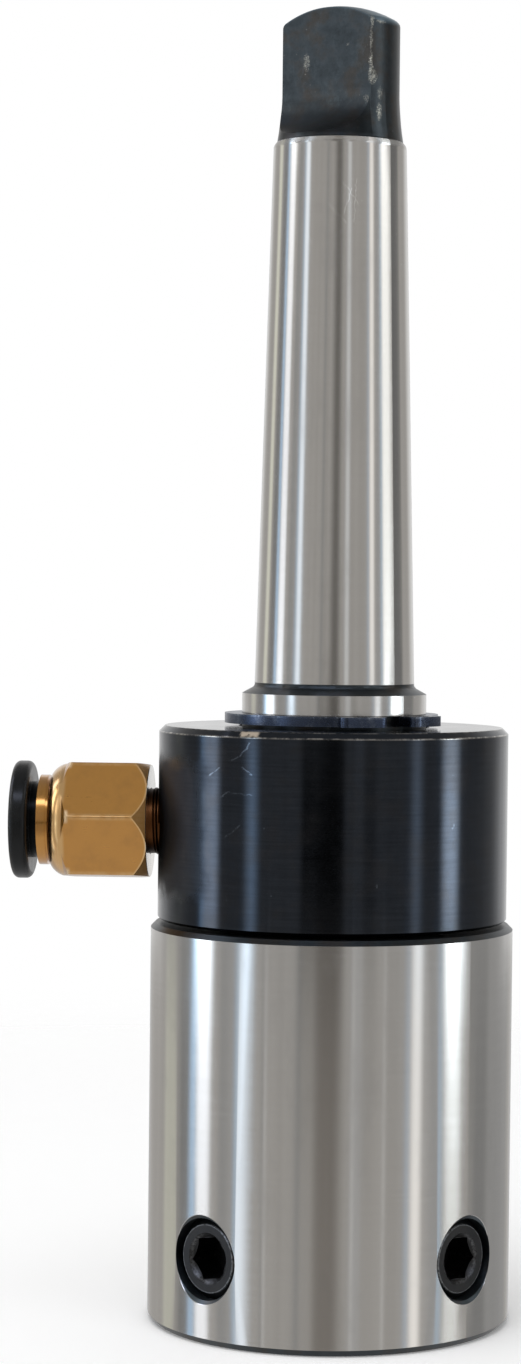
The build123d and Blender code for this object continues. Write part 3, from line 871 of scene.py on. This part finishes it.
@dataclass
class CoolantCollar:
    """The blackened collar that stands still around the journal, with its two seal rings."""

    radius: float = 26.5
    top: float = 90.0
    chamfer: float = 0.9
    port_angle: float = -140.0
    port_height: float = 75.2
    knock_azimuth: float = -28.0
    knock_half_width: float = 3.3
    knock_strength: float = 0.85
    # Bright chamfer edges: partly bare steel from handling, partly painted highlight.
    rim_strength: float = 0.8
    faint_strength: float = 0.12
    # Painted shadow on the collar's top next to the journal, under the retaining ring.
    ring_shadow_strength: float = 0.8
    ring_shadow_radius: float = 18.5
    # Painted shade round the fitting's port: a wide dark ellipse and a black middle.
    port_shade_strength: float = 0.78
    port_shade_radii: tuple[float, float] = (10.8, 8.2)
    pit_shade_strength: float = 0.95
    pit_shade_radii: tuple[float, float] = (6.6, 5.0)
    dull_strength: float = 0.52
    dull_rise: tuple[float, float] = (12.0, 8.0)
    dull_spread: tuple[float, float] = (21.0, 14.5)
    dull_wander_width: float = 5.0
    rim_colour: Colour = (0.56, 0.53, 0.49)
    # Colour of the painted shadow under the retaining ring.
    ring_shadow_colour: Colour = (0.006, 0.006, 0.007)
    # Colour of the painted shade round the port.
    port_shade_colour: Colour = (0.008, 0.0075, 0.007)
    knock_colour: Colour = (0.50, 0.42, 0.33)
    scratch_wobble: Grain = Grain(0.9, 4.0, 0.7)
    faint_wear: Grain = Grain(1.3, 3.0, 0.7)
    broken_wear: Grain = Grain(1.6, 3.0, 0.7)
    ragged_rim: Grain = Grain(0.5, 6.0, 0.8, (1.0, 1.0, 0.3))
    ragged_knock: Grain = Grain(1.1, 4.0, 0.7)
    dull_wander: Grain = Grain(0.22, 4.0, 0.6)
    oxide: BlackOxide = BlackOxide(
        (0.036, 0.041, 0.050), (0.040, 0.037, 0.036), (0.20, 0.23, 0.27), 0.11, 0.3, 0.0007, 0.55
    )
    rubber: MouldedPolymer = MouldedPolymer((0.018, 0.018, 0.019), 0.5)
    scratches: tuple[Scratch, ...] = (
        Scratch((-27.2, 88.35), (-30.8, 86.3), 0.16, 0.55),
        Scratch((-31.3, 86.25), (-34.6, 85.5), 0.14, 0.4),
        Scratch((-43.2, 83.3), (-38.5, 84.6), 0.14, 0.45),
        Scratch((-30.0, 84.8), (-26.4, 83.7), 0.16, 0.5),
        Scratch((-38.4, 80.3), (-35.2, 81.1), 0.12, 0.45),
        Scratch((-35.2, 81.1), (-26.3, 80.8), 0.10, 0.3),
        Scratch((-30.5, 76.4), (-36.2, 74.4), 0.12, 0.35),
        Scratch((41.0, 76.0), (42.0, 76.6), 0.22, 0.2),
        Scratch((13.9, 67.7), (14.2, 68.2), 0.16, 0.5),
    )

    def outside(self, place: Place) -> Socket:
        """Returns the mask of the collar's round outside."""
        return place.radius.rise(self.radius - 0.3, self.radius - 0.15)

    def wear(self, place: Place) -> Socket:
        """Works out where the black is rubbed through.

        Args:
            place: Where the point is.

        Returns:
            A value from 0 to 1.
        """
        wobble = place.noise(self.scratch_wobble)
        outside = self.outside(place)
        bright_marks = place.noise(self.faint_wear).rise(0.70, 0.82) * self.faint_strength
        for scratch in self.scratches:
            bright_marks = bright_marks.most(scratch.mask(place, self.radius, wobble) * outside)
        return bright_marks * place.noise(self.broken_wear).rise(0.36, 0.56)

    def rims(self, place: Place) -> Socket:
        """Works out where the chamfer's two edges are brightened, partly as bare steel from handling and
        partly as a painted edge highlight.

        Args:
            place: Where the point is.

        Returns:
            A value from 0 to 1.
        """
        ragged = place.noise(self.ragged_rim)
        edge = self.top - self.chamfer + (ragged - 0.5) * 0.3
        lower = abs(place.height - edge).rise(0.17, 0.05)
        lower = lower * place.radius.rise(self.radius - 0.4, self.radius - 0.25)
        upper = place.height.rise(self.top - 0.2, self.top - 0.02)
        upper = upper * place.radius.within(self.radius - 1.3, self.radius - 0.7, 0.2)
        return (lower * (0.12 + ragged.rise(0.40, 0.62) * 0.88)).most(upper * ragged.rise(0.42, 0.62) * 0.6)

    def knock(self, place: Place) -> Socket:
        """Works out where the chamfer has been knocked.

        Args:
            place: Where the point is.

        Returns:
            A value from 0 to 1.
        """
        ragged = place.noise(self.ragged_knock)
        aside = abs(place.azimuth - self.knock_azimuth + (ragged - 0.5) * 2.0)
        patch = aside.rise(self.knock_half_width + 0.6, self.knock_half_width - 0.6)
        patch = patch * place.height.within(self.top - 0.78, self.top - 0.08, 0.25)
        return patch * ragged.rise(0.30, 0.46) * self.knock_strength

    def paint(self, place: Place) -> Look:
        """Works out the collar's look, with painted shadow on its top under the retaining ring, painted shade
        around the port, and dull around the port.

        Args:
            place: Where the point is.

        Returns:
            The look.
        """
        look = self.oxide.look(place, self.wear(place))
        # The chamfer's edges: partly bare steel from handling, partly painted highlight.
        look.tint(self.rims(place) * self.rim_strength, self.rim_colour)
        knock = self.knock(place)
        look.tint(knock, self.knock_colour)
        look.metallic = 1.0 - knock
        # Painted shadow under the retaining ring on the collar's top.
        ring_shadow = place.radius.rise(self.ring_shadow_radius + 2.0, self.ring_shadow_radius)
        ring_shadow = ring_shadow * place.height.rise(self.top - 0.1, self.top - 0.05)
        look.tint(ring_shadow * self.ring_shadow_strength, self.ring_shadow_colour)
        aside = place.toward(self.port_angle + 90.0)
        above = place.height - self.port_height
        beside = place.toward(self.port_angle).rise(5.0, 10.0) * self.outside(place)
        # Painted shade round the port: a wide dark ellipse and a black middle where the fitting's stub
        # enters.
        port_shade = place.reach(aside * 0.64, above).rise(*self.port_shade_radii) * self.port_shade_strength
        black = place.reach(aside * 0.6, above).rise(*self.pit_shade_radii) * self.pit_shade_strength
        look.tint(port_shade.most(black) * beside, self.port_shade_colour)
        wander = (place.noise(self.dull_wander) - 0.5) * self.dull_wander_width
        dull = abs(above + wander).rise(*self.dull_rise) * abs(aside + wander).rise(*self.dull_spread)
        look.roughness = look.roughness + dull * beside * self.dull_strength
        return look

    def dress(self, bench: Bench) -> None:
        """Dresses the collar and its seals.

        Args:
            bench: Makes the materials.
        """
        bench.dress("coolant_collar", bench.material("black_collar", self.paint, Marks.TURNED))
        rubber = bench.material("seal_rubber", self.rubber.look)
        for seal in ("upper_seal", "lower_seal", "tube_seal"):
            bench.dress(seal, rubber)


@dataclass
class RetainingRing:
    """The retaining ring that holds the collar on the journal."""

    steel: SpringSteel = SpringSteel()
    glints: Grain = Grain(0.5, 5.0, 0.75)

    def paint(self, place: Place) -> Look:
        """Works out the ring's look, with painted glints along its top and bottom edges and in patches over
        it.

        Args:
            place: Where the point is.

        Returns:
            The look.
        """
        low, high = (corner.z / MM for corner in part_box("retaining_ring"))
        # Painted glints along the ring's top and bottom edges and in patches over it.
        glint = place.noise(self.glints).rise(0.46, 0.66)
        top = place.height.rise(high - 0.4, high - 0.12) * (0.1 + glint * 0.9)
        bottom = place.height.rise(low + 0.22, low + 0.05) * glint * 0.4
        return self.steel.look(place, top.most(bottom).most(glint * 0.25))

    def dress(self, bench: Bench) -> None:
        """Dresses the ring."""
        bench.dress("retaining_ring", bench.material("ring_steel", self.paint))


@dataclass
class HoseFitting:
    """The push-in fitting: brass body and guide ring, release sleeve, spacer, teeth and seal."""

    angle: float = -140.0
    height: float = 75.2
    hex_face: float = 27.75
    hex_half_width: float = 8.5
    hex_end: float = 39.75
    hex_edge: tuple[float, float] = (9.45, 9.68)
    chamfer_slope: float = 1.55
    chamfer_dulling: float = 0.35
    shoulder: tuple[float, float] = (40.2, 42.6)
    stub_radius: float = 5.05
    # Painted shade: the thread grows darker above and below its middle.
    thread_dark: tuple[float, float] = (1.6, 4.2)
    thread_start: float = 25.4
    thread_end: float = 27.6
    thread_root_radius: float = 4.92
    thread_crest: float = 0.18
    thread_pitch: float = 0.907
    thread_foot: float = 0.42
    thread_profile: tuple[tuple[float, float], ...] = (
        (-0.42, -0.08), (-0.10, 1.0), (0.10, 1.0), (0.42, -0.08)
    )
    thread_steps: int = 72
    thread_shade: float = 0.8
    sleeve_neck: float = 45.75
    # Painted shade: the sleeve's neck is made metal, so that its near-black colour shows almost no sheen.
    neck_shade_metallic: float = 0.85
    turned_gloss: float = 0.10
    # Painted highlight on the hexagon's corners next to the shoulder.
    corner_highlight_strength: float = 0.62
    # Painted shade: the faced end turns greyer towards its top.
    end_shade_strength: float = 0.7
    corner_highlight_colour: Colour = (1.0, 0.86, 0.58)
    end_shade_colour: Colour = (0.40, 0.41, 0.37)
    turned_lines: Grain = Grain(3.2, 3.0, 0.65)
    drawn_lines: Grain = Grain(2.6, 3.0, 0.65)
    thread_lines: Grain = Grain(3.0)
    broken_edge: Grain = Grain(0.8, 3.0)
    brass: TurnedBrass = TurnedBrass()
    # Painted reflection: the faced end is a pale copy of the brass, standing in for the white it reflects.
    faced_brass_with_painted_reflection: TurnedBrass = TurnedBrass((0.86, 0.76, 0.62), roughness=0.22)
    # Painted shade: the thread's brass is darkened.
    shaded_thread_brass: TurnedBrass = TurnedBrass((0.15, 0.058, 0.020), (0.05, 0.020, 0.008), roughness=0.40)
    sleeve: MouldedPolymer = MouldedPolymer(
        (0.004, 0.0045, 0.005), 0.26, 0.0012, dust_amount=0.015, skin=Grain(2.0, 3.0)
    )
    spacer: MouldedPolymer = MouldedPolymer(
        (0.62, 0.60, 0.53), 0.42, 0.002, (0.3, 0.28, 0.22), 0.3, skin=Grain(4.0, 3.0)
    )
    teeth: SpringSteel = SpringSteel((0.42, 0.42, 0.43), (0.6, 0.6, 0.6), 0.3)

    def paint(self, place: Place) -> Look:
        """Works out the brass's look, with painted highlights on its edges, shoulder and hexagon corners, and
        a painted reflection and painted shade on its faced end.

        Args:
            place: Where the point is.

        Returns:
            The look.
        """
        sheet = place.sheet
        outward = place.toward(self.angle)
        aside = place.toward(self.angle + 90.0)
        above = place.height - self.height
        reach = place.reach(aside, above)
        turned = sheet.noise(sheet.vector(outward, reach * 0.6, 0.0), self.turned_lines)
        drawn = sheet.noise(sheet.vector(outward * 0.05, aside, above), self.drawn_lines)
        on_flat = reach.rise(self.hex_half_width - 0.1, self.hex_half_width - 0.04)
        lines = on_flat.pick(turned, drawn)
        # Painted highlights along the hexagon's corners, the border of its end chamfer, and its shoulder.
        edge = reach.rise(*self.hex_edge) * (0.45 + place.noise(self.broken_edge).rise(0.35, 0.6) * 0.55)
        past = outward - self.hex_face - (reach - self.hex_half_width) * self.chamfer_slope
        edge = (edge * 0.34).most(abs(past - 0.12).rise(0.2, 0.06) * on_flat * 0.55)
        shoulder = outward.within(*self.shoulder, 0.6) * reach.rise(9.0, 8.6) * 0.45
        look = self.brass.look(place, lines, edge.most(shoulder))
        # Painted highlight on the hexagon's corners next to the shoulder, which are also rougher.
        corner = outward.rise(self.hex_end - 0.55, self.hex_end) * reach.rise(9.2, 9.5)
        look.tint(corner * self.corner_highlight_strength, self.corner_highlight_colour)
        chamfer = (past.rise(0.08, 0.0) * on_flat).most(corner)
        look.roughness = look.roughness - (1.0 - on_flat) * self.turned_gloss + chamfer * self.chamfer_dulling
        stub = reach.rise(self.stub_radius + 0.05, self.stub_radius)
        stub = stub * outward.rise(self.hex_face + 0.1, self.hex_face)
        look = self.paint_thread(place, lines).over(look, stub)
        # Painted reflection: pale brass on the faced end.
        end = self.faced_brass_with_painted_reflection.look(place, lines)
        # Painted shade: greyer towards the top of the faced end.
        end.tint(above.rise(0.5, 5.0) * self.end_shade_strength, self.end_shade_colour)
        faced = outward.rise(self.hex_face + 0.12, self.hex_face + 0.04)
        look = end.over(look, faced * reach.rise(self.stub_radius - 0.05, self.stub_radius + 0.15))
        look.film = 1.0 - stub
        return look

    def paint_thread(self, place: Place, lines: Socket | None = None) -> Look:
        """Works out the thread's look: brass darkened as painted shade, and darker still above and below as
        more painted shade.

        Args:
            place: Where the point is.
            lines: The noise of the tool's lines, or None for the thread's own.

        Returns:
            The look.
        """
        look = self.shaded_thread_brass.look(place, lines or place.noise(self.thread_lines))
        # Painted shade above and below the thread's middle.
        dark = abs(place.height - self.height).rise(*self.thread_dark)
        look.shade(1.0 - dark * self.thread_shade)
        return look

    def paint_sleeve(self, place: Place) -> Look:
        """Works out the release sleeve's look, with its neck made near-black metal as painted shade.

        Args:
            place: Where the point is.

        Returns:
            The look.
        """
        look = self.sleeve.look(place)
        # Painted shade: near-black metal on the sleeve's neck.
        neck = place.toward(self.angle).rise(self.sleeve_neck, self.sleeve_neck - 0.1)
        look.metallic = neck * self.neck_shade_metallic
        return look

    def build_thread(self, bench: Bench, material: bpy.types.Material) -> None:
        """Builds the turns of thread that show between the collar and the hexagon.

        Args:
            bench: Makes the piece.
            material: Its material.
        """
        out, across = facing(self.angle), facing(self.angle + 90.0)
        turns = (self.thread_end - self.thread_start - 2 * self.thread_foot) / self.thread_pitch
        rings = int(turns * self.thread_steps) + 1
        vertices = []
        for step in range(rings):
            turn = 2 * math.pi * step / self.thread_steps
            start = self.thread_start + self.thread_foot + self.thread_pitch * step / self.thread_steps
            for shift, crest in self.thread_profile:
                radius = self.thread_root_radius + self.thread_crest * crest
                ring = across * (radius * math.cos(turn)) + UP * (radius * math.sin(turn))
                vertices.append(out * (start + shift * self.thread_pitch) + ring + UP * self.height)
        faces = tube_faces(rings, len(self.thread_profile))
        bench.piece("fitting_thread", vertices, faces, material, "collar_body", "fitting_brass")

    def dress(self, bench: Bench) -> None:
        """Dresses the fitting and builds its thread.

        Args:
            bench: Makes the materials.
        """
        brass = bench.material("fitting_brass", self.paint)
        for node in ("fitting_body", "guide_ring"):
            bench.dress(node, brass)
        self.build_thread(bench, bench.material("shaded_thread_brass", self.paint_thread))
        bench.dress("release_sleeve", bench.material("sleeve_plastic", self.paint_sleeve, specular=0.28))
        bench.dress("grip_spacer", bench.material("spacer_plastic", self.spacer.look))
        bench.dress("grip_ring", bench.material("grip_steel", self.teeth.look))


@dataclass
class ClampScrew:
    """A socket screw that holds the cutter."""

    node: str
    angle: float
    height: float = 12.5
    thread_pitch: float = 1.75
    thread_relief: float = 0.12
    thread_radius: float = 5.85
    rim_radius: float = 5.03
    # Painted highlights on the screw's outer rims and round its key socket.
    rim_strength: float = 0.7
    key_rim_radius: float = 3.55
    key_rim_highlight_strength: float = 0.3
    speckle: Grain = Grain(2.4, 3.0, 0.7)
    oxide: BlackOxide = BlackOxide(colour=(0.034, 0.034, 0.035), roughness=0.36)

    def paint(self, place: Place) -> Look:
        """Works out the screw's look, with painted highlights on its rims and the relief of its thread.

        Args:
            place: Where the point is.

        Returns:
            The look.
        """
        outward = place.toward(self.angle)
        aside = place.toward(self.angle + 90.0)
        above = place.height - self.height
        reach = place.reach(aside, above)
        turn = above.maths("ARCTAN2", aside) * (1 / (2 * math.pi))
        groove = abs((outward / self.thread_pitch + turn).maths("FRACT") - 0.5) * 2.0
        threaded = reach.rise(self.thread_radius - 0.15, self.thread_radius)
        speckle = place.noise(self.speckle)
        # Painted highlights on the outer rims and round the key socket.
        rim_highlight = reach.within(self.rim_radius - 0.1, self.rim_radius + 0.1, 0.12)
        rim_highlight = rim_highlight * speckle.rise(0.3, 0.6) * self.rim_strength
        key_rim_highlight = reach.within(self.key_rim_radius - 0.2, self.key_rim_radius + 0.2, 0.3)
        key_rim_highlight = key_rim_highlight * speckle.rise(0.3, 0.7) * self.key_rim_highlight_strength
        look = self.oxide.look(place, rim_highlight.most(key_rim_highlight))
        look.relief = look.relief - groove * threaded * self.thread_relief
        return look

    def dress(self, bench: Bench) -> None:
        """Dresses the screw."""
        bench.dress(self.node, bench.material(self.node + "_steel", self.paint))


@dataclass
class Ejector:
    """The plunger, spring, seat and stop ring inside the arbor."""

    stroke: float = 40.0
    coil_radius: float = 5.4
    wire_radius: float = 0.58
    coil_turns: int = 12
    coil_steps: int = 48
    wire_sides: int = 12
    closed_pitch: float = 1.2
    bore_clearance: float = 0.02
    spring: SpringSteel = SpringSteel((0.40, 0.40, 0.41), (0.55, 0.55, 0.55), 0.28)
    turned: GroundSteel = GroundSteel(
        roughness=0.26, stain=0.12, lines=Grain(2.2, 3.0, 0.7, (0.03, 0.03, 1.0))
    )
    brass: TurnedBrass = TurnedBrass()
    seat_lines: Grain = Grain(3.0)

    def paint_seat(self, place: Place) -> Look:
        """Works out the valve seat's look, turned around the spindle axis."""
        around = place.sheet.vector(place.radius, place.height, 0.0)
        return self.brass.look(place, place.sheet.noise(around, self.seat_lines))

    def build_spring(self, bench: Bench, material: bpy.types.Material) -> None:
        """Builds the spring of round wire.

        Args:
            bench: Makes the piece.
            material: Its material.
        """
        low, high = (corner.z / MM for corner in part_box("ejector_spring"))
        end = self.bore_clearance + self.wire_radius
        bottom, top = low + end, high - end
        open_turns = self.coil_turns - 2
        open_pitch = (top - bottom - 2 * self.closed_pitch) / open_turns
        rings = self.coil_turns * self.coil_steps + 1
        vertices = []
        for step in range(rings):
            turn = step / self.coil_steps
            opened = min(max(turn - 1.0, 0.0), open_turns)
            level = bottom + self.closed_pitch * (turn - opened) + open_pitch * opened
            out = facing(360.0 * turn)
            for side in range(self.wire_sides):
                angle = 2 * math.pi * side / self.wire_sides
                radius = self.coil_radius + self.wire_radius * math.cos(angle)
                vertices.append(out * radius + UP * (level + self.wire_radius * math.sin(angle)))
        faces = tube_faces(rings, self.wire_sides, flipped=True)
        coil = bench.piece("ejector_coil", vertices, faces, material, "arbor_body", "spring_steel")
        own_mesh(coil)
        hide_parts("ejector_spring")

    def dress(self, bench: Bench) -> None:
        """Dresses the ejector's pieces and builds its spring.

        Args:
            bench: Makes the materials.
        """
        bench.dress("ejector_plunger", bench.material("plunger_steel", self.turned.look))
        spring = bench.material("spring_steel", self.spring.look)
        self.build_spring(bench, spring)
        bench.dress("stop_ring", spring)
        bench.dress("valve_seat", bench.material("seat_brass", self.paint_seat))


# The elevations that upright metal mirrors towards the camera at the top of the collar and of the body.
COLLAR_TOP = -2.3
BODY_TOP = -6.2


@dataclass(frozen=True)
class Panel:
    """A softbox or a dark card around the object, as its metal sees it."""

    azimuth: float
    half_width: float
    level: float
    soft: float = 6.0
    tint: Colour = (1.0, 1.0, 1.0)
    lowest: float = -40.0
    highest: float = 36.0


@dataclass
class Studio:
    """The floor, the lights and the camera."""

    picture: tuple[int, int] = (521, 1364)
    front: float = Bench.FRONT
    focal_pixels: float = 3150.0
    camera_distance: float = 478.5
    camera_height: float = 109.05
    camera_pitch: float = 1.479
    camera_roll: float = math.degrees(0.0109)
    principal_column: float = 334.43
    sensor: float = 36.0
    nearest_seen: float = 10.0
    farthest_seen: float = 50000.0
    white: Colour = (1.0, 1.0, 1.0)
    black: Colour = (0.0, 0.0, 0.0)
    plain_level: float = 0.66
    room_level: float = 0.46
    room_tint: Colour = (1.03, 1.0, 0.96)
    overhead_level: float = 0.34
    overhead_from: tuple[float, float] = (35.0, 60.0)
    underneath_level: float = 0.62
    underneath_from: tuple[float, float] = (-32.0, -46.0)
    panels: tuple[Panel, ...] = (
        Panel(178.0, 33.0, 0.82, 22.0, lowest=COLLAR_TOP),
        Panel(180.0, 18.0, 0.58, 16.0, highest=COLLAR_TOP),
        Panel(130.0, 22.0, 0.37, 16.0, highest=COLLAR_TOP),
        Panel(-121.0, 5.0, 0.95, 6.0, (1.0, 1.0, 0.88), lowest=COLLAR_TOP),
        Panel(-122.5, 6.0, 0.68, 6.0, (1.0, 1.0, 0.88), highest=COLLAR_TOP),
        Panel(-105.0, 6.0, 0.28, 8.0),
        Panel(108.0, 8.0, 0.20, 9.0, lowest=COLLAR_TOP),
        Panel(109.0, 8.0, 0.29, 10.0, highest=COLLAR_TOP),
        Panel(-70.0, 4.0, 0.38, 5.0),
        Panel(66.0, 3.0, 0.43, 4.0),
        Panel(-97.0, 3.0, 0.75, 4.0, (0.72, 0.98, 1.30)),
        Panel(72.5, 2.0, 0.66, 3.0, (0.80, 0.99, 1.2)),
        Panel(-61.0, 1.5, 0.62, 3.0, (0.75, 0.98, 1.25)),
        Panel(49.5, 1.5, 0.60, 3.0, (0.85, 0.98, 1.15)),
        Panel(-87.0, 5.5, 1.38, 4.0, (0.98, 1.0, 1.05)),
        Panel(80.0, 5.0, 1.45, 5.0, (0.99, 1.0, 0.98), lowest=COLLAR_TOP),
        Panel(83.5, 6.5, 0.96, 6.0, (0.99, 1.0, 0.98), highest=COLLAR_TOP),
        Panel(-55.5, 3.5, 1.38, 5.0, (0.92, 1.0, 1.10)),
        Panel(55.5, 3.5, 1.25, 5.0, (1.03, 1.0, 0.97)),
        Panel(17.0, 3.0, 0.82, 4.0, (0.98, 1.0, 1.02), lowest=-2.0),
        Panel(16.0, 3.5, 0.50, 4.0, lowest=-28.0, highest=COLLAR_TOP),
        Panel(14.0, 0.5, 0.85, 0.6, highest=COLLAR_TOP),
        Panel(-41.0, 0.5, 0.85, 0.6, highest=COLLAR_TOP),
        Panel(-43.0, 0.8, 0.33, 0.8, highest=COLLAR_TOP),
        Panel(34.0, 0.5, 0.85, 0.8, highest=COLLAR_TOP),
        Panel(-20.0, 1.5, 0.36, 3.0),
        Panel(-0.5, 5.5, 0.19, 9.0, (1.05, 1.0, 0.94), lowest=COLLAR_TOP),
        Panel(-2.0, 8.0, 0.25, 10.0, (1.08, 1.0, 0.92), -28.0, COLLAR_TOP),
        Panel(0.0, 180.0, 0.40, lowest=BODY_TOP, highest=COLLAR_TOP),
        Panel(180.0, 46.0, 0.82, 24.0, lowest=BODY_TOP, highest=COLLAR_TOP),
        Panel(-93.5, 3.0, 3.0, 4.0, (0.70, 1.0, 1.32), BODY_TOP, COLLAR_TOP),
        Panel(-86.5, 6.0, 4.6, 8.0, (0.90, 1.0, 1.12), BODY_TOP, COLLAR_TOP),
        Panel(83.0, 6.0, 7.4, 9.0, (0.90, 1.0, 1.08), BODY_TOP, COLLAR_TOP),
        Panel(-54.0, 3.5, 2.7, 8.0, (0.78, 1.0, 1.24), BODY_TOP, COLLAR_TOP),
        Panel(56.0, 3.0, 1.7, 9.0, (0.86, 1.0, 1.15), BODY_TOP, COLLAR_TOP),
        Panel(24.0, 4.0, 0.22, 5.0, lowest=BODY_TOP, highest=COLLAR_TOP),
        Panel(-6.3, 13.8, 0.0, 5.0, lowest=BODY_TOP, highest=COLLAR_TOP),
        Panel(-88.0, 8.0, 3.4, 6.0, lowest=12.0, highest=44.0),
        Panel(-57.0, 4.0, 2.2, 6.0, lowest=14.0, highest=40.0),
        Panel(80.0, 7.0, 3.0, 6.0, lowest=12.0, highest=40.0),
        Panel(-5.0, 34.0, 3.2, 16.0, (0.92, 1.0, 1.25), 42.0, 55.0),
        Panel(-112.0, 8.0, 2.6, 8.0, (0.95, 1.0, 1.2), 16.0, 52.0),
    )
    panel_edge: float = 0.6
    streaks: Grain = Grain(11.0, 6.0, 0.75)
    streak_depth: float = 0.5
    lamp_turn: float = -35.0
    lamp_reach: float = 450.0
    lamp_height: float = 1100.0
    lamp_size: float = 900.0
    lamp_power: float = 5.6
    floor_half: float = 900.0
    floor_drop: float = 0.02
    floor_fade: tuple[float, float] = (140.0, 420.0)
    floor_colour: Colour = (0.94, 0.94, 0.94)
    floor_roughness: float = 0.9
    floor_glow: float = 0.12

    def aim_camera(self) -> None:
        """Sets the camera where the photograph was taken from."""
        width, height = self.picture
        lens = bpy.data.cameras.new("camera")
        lens.sensor_fit = "VERTICAL"
        lens.sensor_height = self.sensor
        lens.lens = self.focal_pixels / height * self.sensor
        lens.shift_x = (width / 2 - self.principal_column) / height
        lens.clip_start, lens.clip_end = self.nearest_seen * MM, self.farthest_seen * MM
        camera = bpy.data.objects.new("camera", lens)
        bpy.context.scene.collection.objects.link(camera)
        toward = facing(self.front)
        pitch = math.radians(self.camera_pitch)
        view = -toward * math.cos(pitch) - UP * math.sin(pitch)
        roll = Quaternion(UP, math.radians(self.camera_roll))
        camera.rotation_mode = "QUATERNION"
        camera.rotation_quaternion = view.to_track_quat("-Z", "Y") @ roll
        camera.location = (toward * self.camera_distance + UP * self.camera_height) * MM
        bpy.context.scene.camera = camera

    def lay_floor(self) -> None:
        """Lays a plain pale floor that fades into the white around it."""
        mesh = bpy.data.meshes.new("floor")
        half = self.floor_half * MM
        corners = [(-half, -half, 0), (half, -half, 0), (half, half, 0), (-half, half, 0)]
        mesh.from_pydata(corners, [], [(0, 1, 2, 3)])
        floor = bpy.data.objects.new("floor", mesh)
        floor.location.z = -self.floor_drop * MM
        bpy.context.scene.collection.objects.link(floor)
        paper = bpy.data.materials.new("floor_paper")
        paper.use_nodes = True
        sheet = NodeSheet(paper.node_tree)
        seen_directly = sheet.node("ShaderNodeLightPath", None, None, "Is Camera Ray")
        lit = sheet.node(
            "ShaderNodeBsdfPrincipled",
            None,
            {
                "Base Color": (*self.floor_colour, 1.0),
                "Roughness": self.floor_roughness,
                "Emission Color": seen_directly.blend(self.black, (self.floor_glow,) * 3),
                "Emission Strength": 1.0,
            },
        )
        clear = sheet.node("ShaderNodeBsdfTransparent")
        fade = Place(sheet, self.front).radius.rise(*self.floor_fade)
        mixed = sheet.node("ShaderNodeMixShader", None, {0: fade, 1: lit, 2: clear})
        sheet.node("ShaderNodeOutputMaterial", None, {"Surface": mixed})
        mesh.materials.append(paper)
        floor.visible_glossy = False

    def room_around(self, sheet: NodeSheet) -> Socket:
        """Works out what metal sees around it: a plain room with softboxes and dark cards.

        Args:
            sheet: The world's nodes.

        Returns:
            The colour in a ray's direction.
        """
        direction = sheet.node("ShaderNodeTexCoord", None, None, "Generated")
        ahead, aside, upward = (
            sheet.vector_maths("DOT_PRODUCT", direction, tuple(axis), output=1)
            for axis in (facing(self.front), facing(self.front + 90.0), UP)
        )
        azimuth = aside.maths("ARCTAN2", ahead) * math.degrees(1.0)
        elevation = upward.maths("ARCSINE") * math.degrees(1.0)
        room = tuple(self.room_level * c for c in self.room_tint)
        seen = elevation.rise(*self.overhead_from).blend(room, (self.overhead_level,) * 3)
        seen = elevation.rise(*self.underneath_from).blend(seen, (self.underneath_level,) * 3)
        for panel in self.panels:
            turned = abs((azimuth - panel.azimuth).maths("WRAP", 180.0, -180.0))
            mask = turned.rise(panel.half_width + panel.soft / 2, panel.half_width - panel.soft / 2)
            mask = mask * elevation.within(panel.lowest, panel.highest, self.panel_edge)
            seen = mask.blend(seen, tuple(c * panel.level for c in panel.tint))
        around = sheet.vector_maths("NORMALIZE", sheet.vector(ahead, aside, 0.0))
        streaks = sheet.noise(around, self.streaks) - 0.5
        return (1.0 + streaks * self.streak_depth).scaled(seen)

    def light_room(self) -> None:
        """Lights the room: a plain level for matt surfaces, the room for metal, white behind."""
        world = bpy.data.worlds.new("studio")
        bpy.context.scene.world = world
        world.use_nodes = True
        sheet = NodeSheet(world.node_tree)
        from_camera = sheet.node("ShaderNodeLightPath", None, None, "Is Camera Ray")
        from_metal = sheet.node("ShaderNodeLightPath", None, None, "Is Glossy Ray")
        lit = from_metal.blend((self.plain_level,) * 3, self.room_around(sheet))
        colour = from_camera.blend(lit, self.white)
        shader = sheet.node("ShaderNodeBackground", None, {"Color": colour, "Strength": 1.0})
        sheet.node("ShaderNodeOutputWorld", None, {"Surface": shader})
        world.cycles.sampling_method = "NONE"

    def hang_lamp(self) -> None:
        """Hangs a large soft lamp over the object, towards the camera."""
        light = bpy.data.lights.new("lamp", "AREA")
        light.shape = "SQUARE"
        light.size = self.lamp_size * MM
        light.energy = self.lamp_power
        lamp = bpy.data.objects.new("lamp", light)
        bpy.context.scene.collection.objects.link(lamp)
        lamp.location = (facing(self.front + self.lamp_turn) * self.lamp_reach + UP * self.lamp_height) * MM
        lamp.rotation_mode = "QUATERNION"
        lamp.rotation_quaternion = (-lamp.location).to_track_quat("-Z", "Y")
        lamp.visible_glossy = False

    def set_up(self) -> None:
        """Sets up the studio."""
        self.aim_camera()
        self.lay_floor()
        self.light_room()
        self.hang_lamp()
        bpy.context.scene.view_settings.view_transform = "Standard"
        log.info("studio ready")


def main() -> None:
    """Dresses each sub-assembly in order and sets up the studio."""
    logging.basicConfig(level=logging.INFO, format="%(name)s: %(message)s")
    bench = Bench()
    screws = ClampScrew("clamp_screw_front", -90.0), ClampScrew("clamp_screw_side", 0.0)
    for assembly in (Arbor(), CoolantCollar(), RetainingRing(), HoseFitting(), *screws, Ejector()):
        assembly.dress(bench)
    Studio().set_up()


if __name__ == "__main__":
    main()
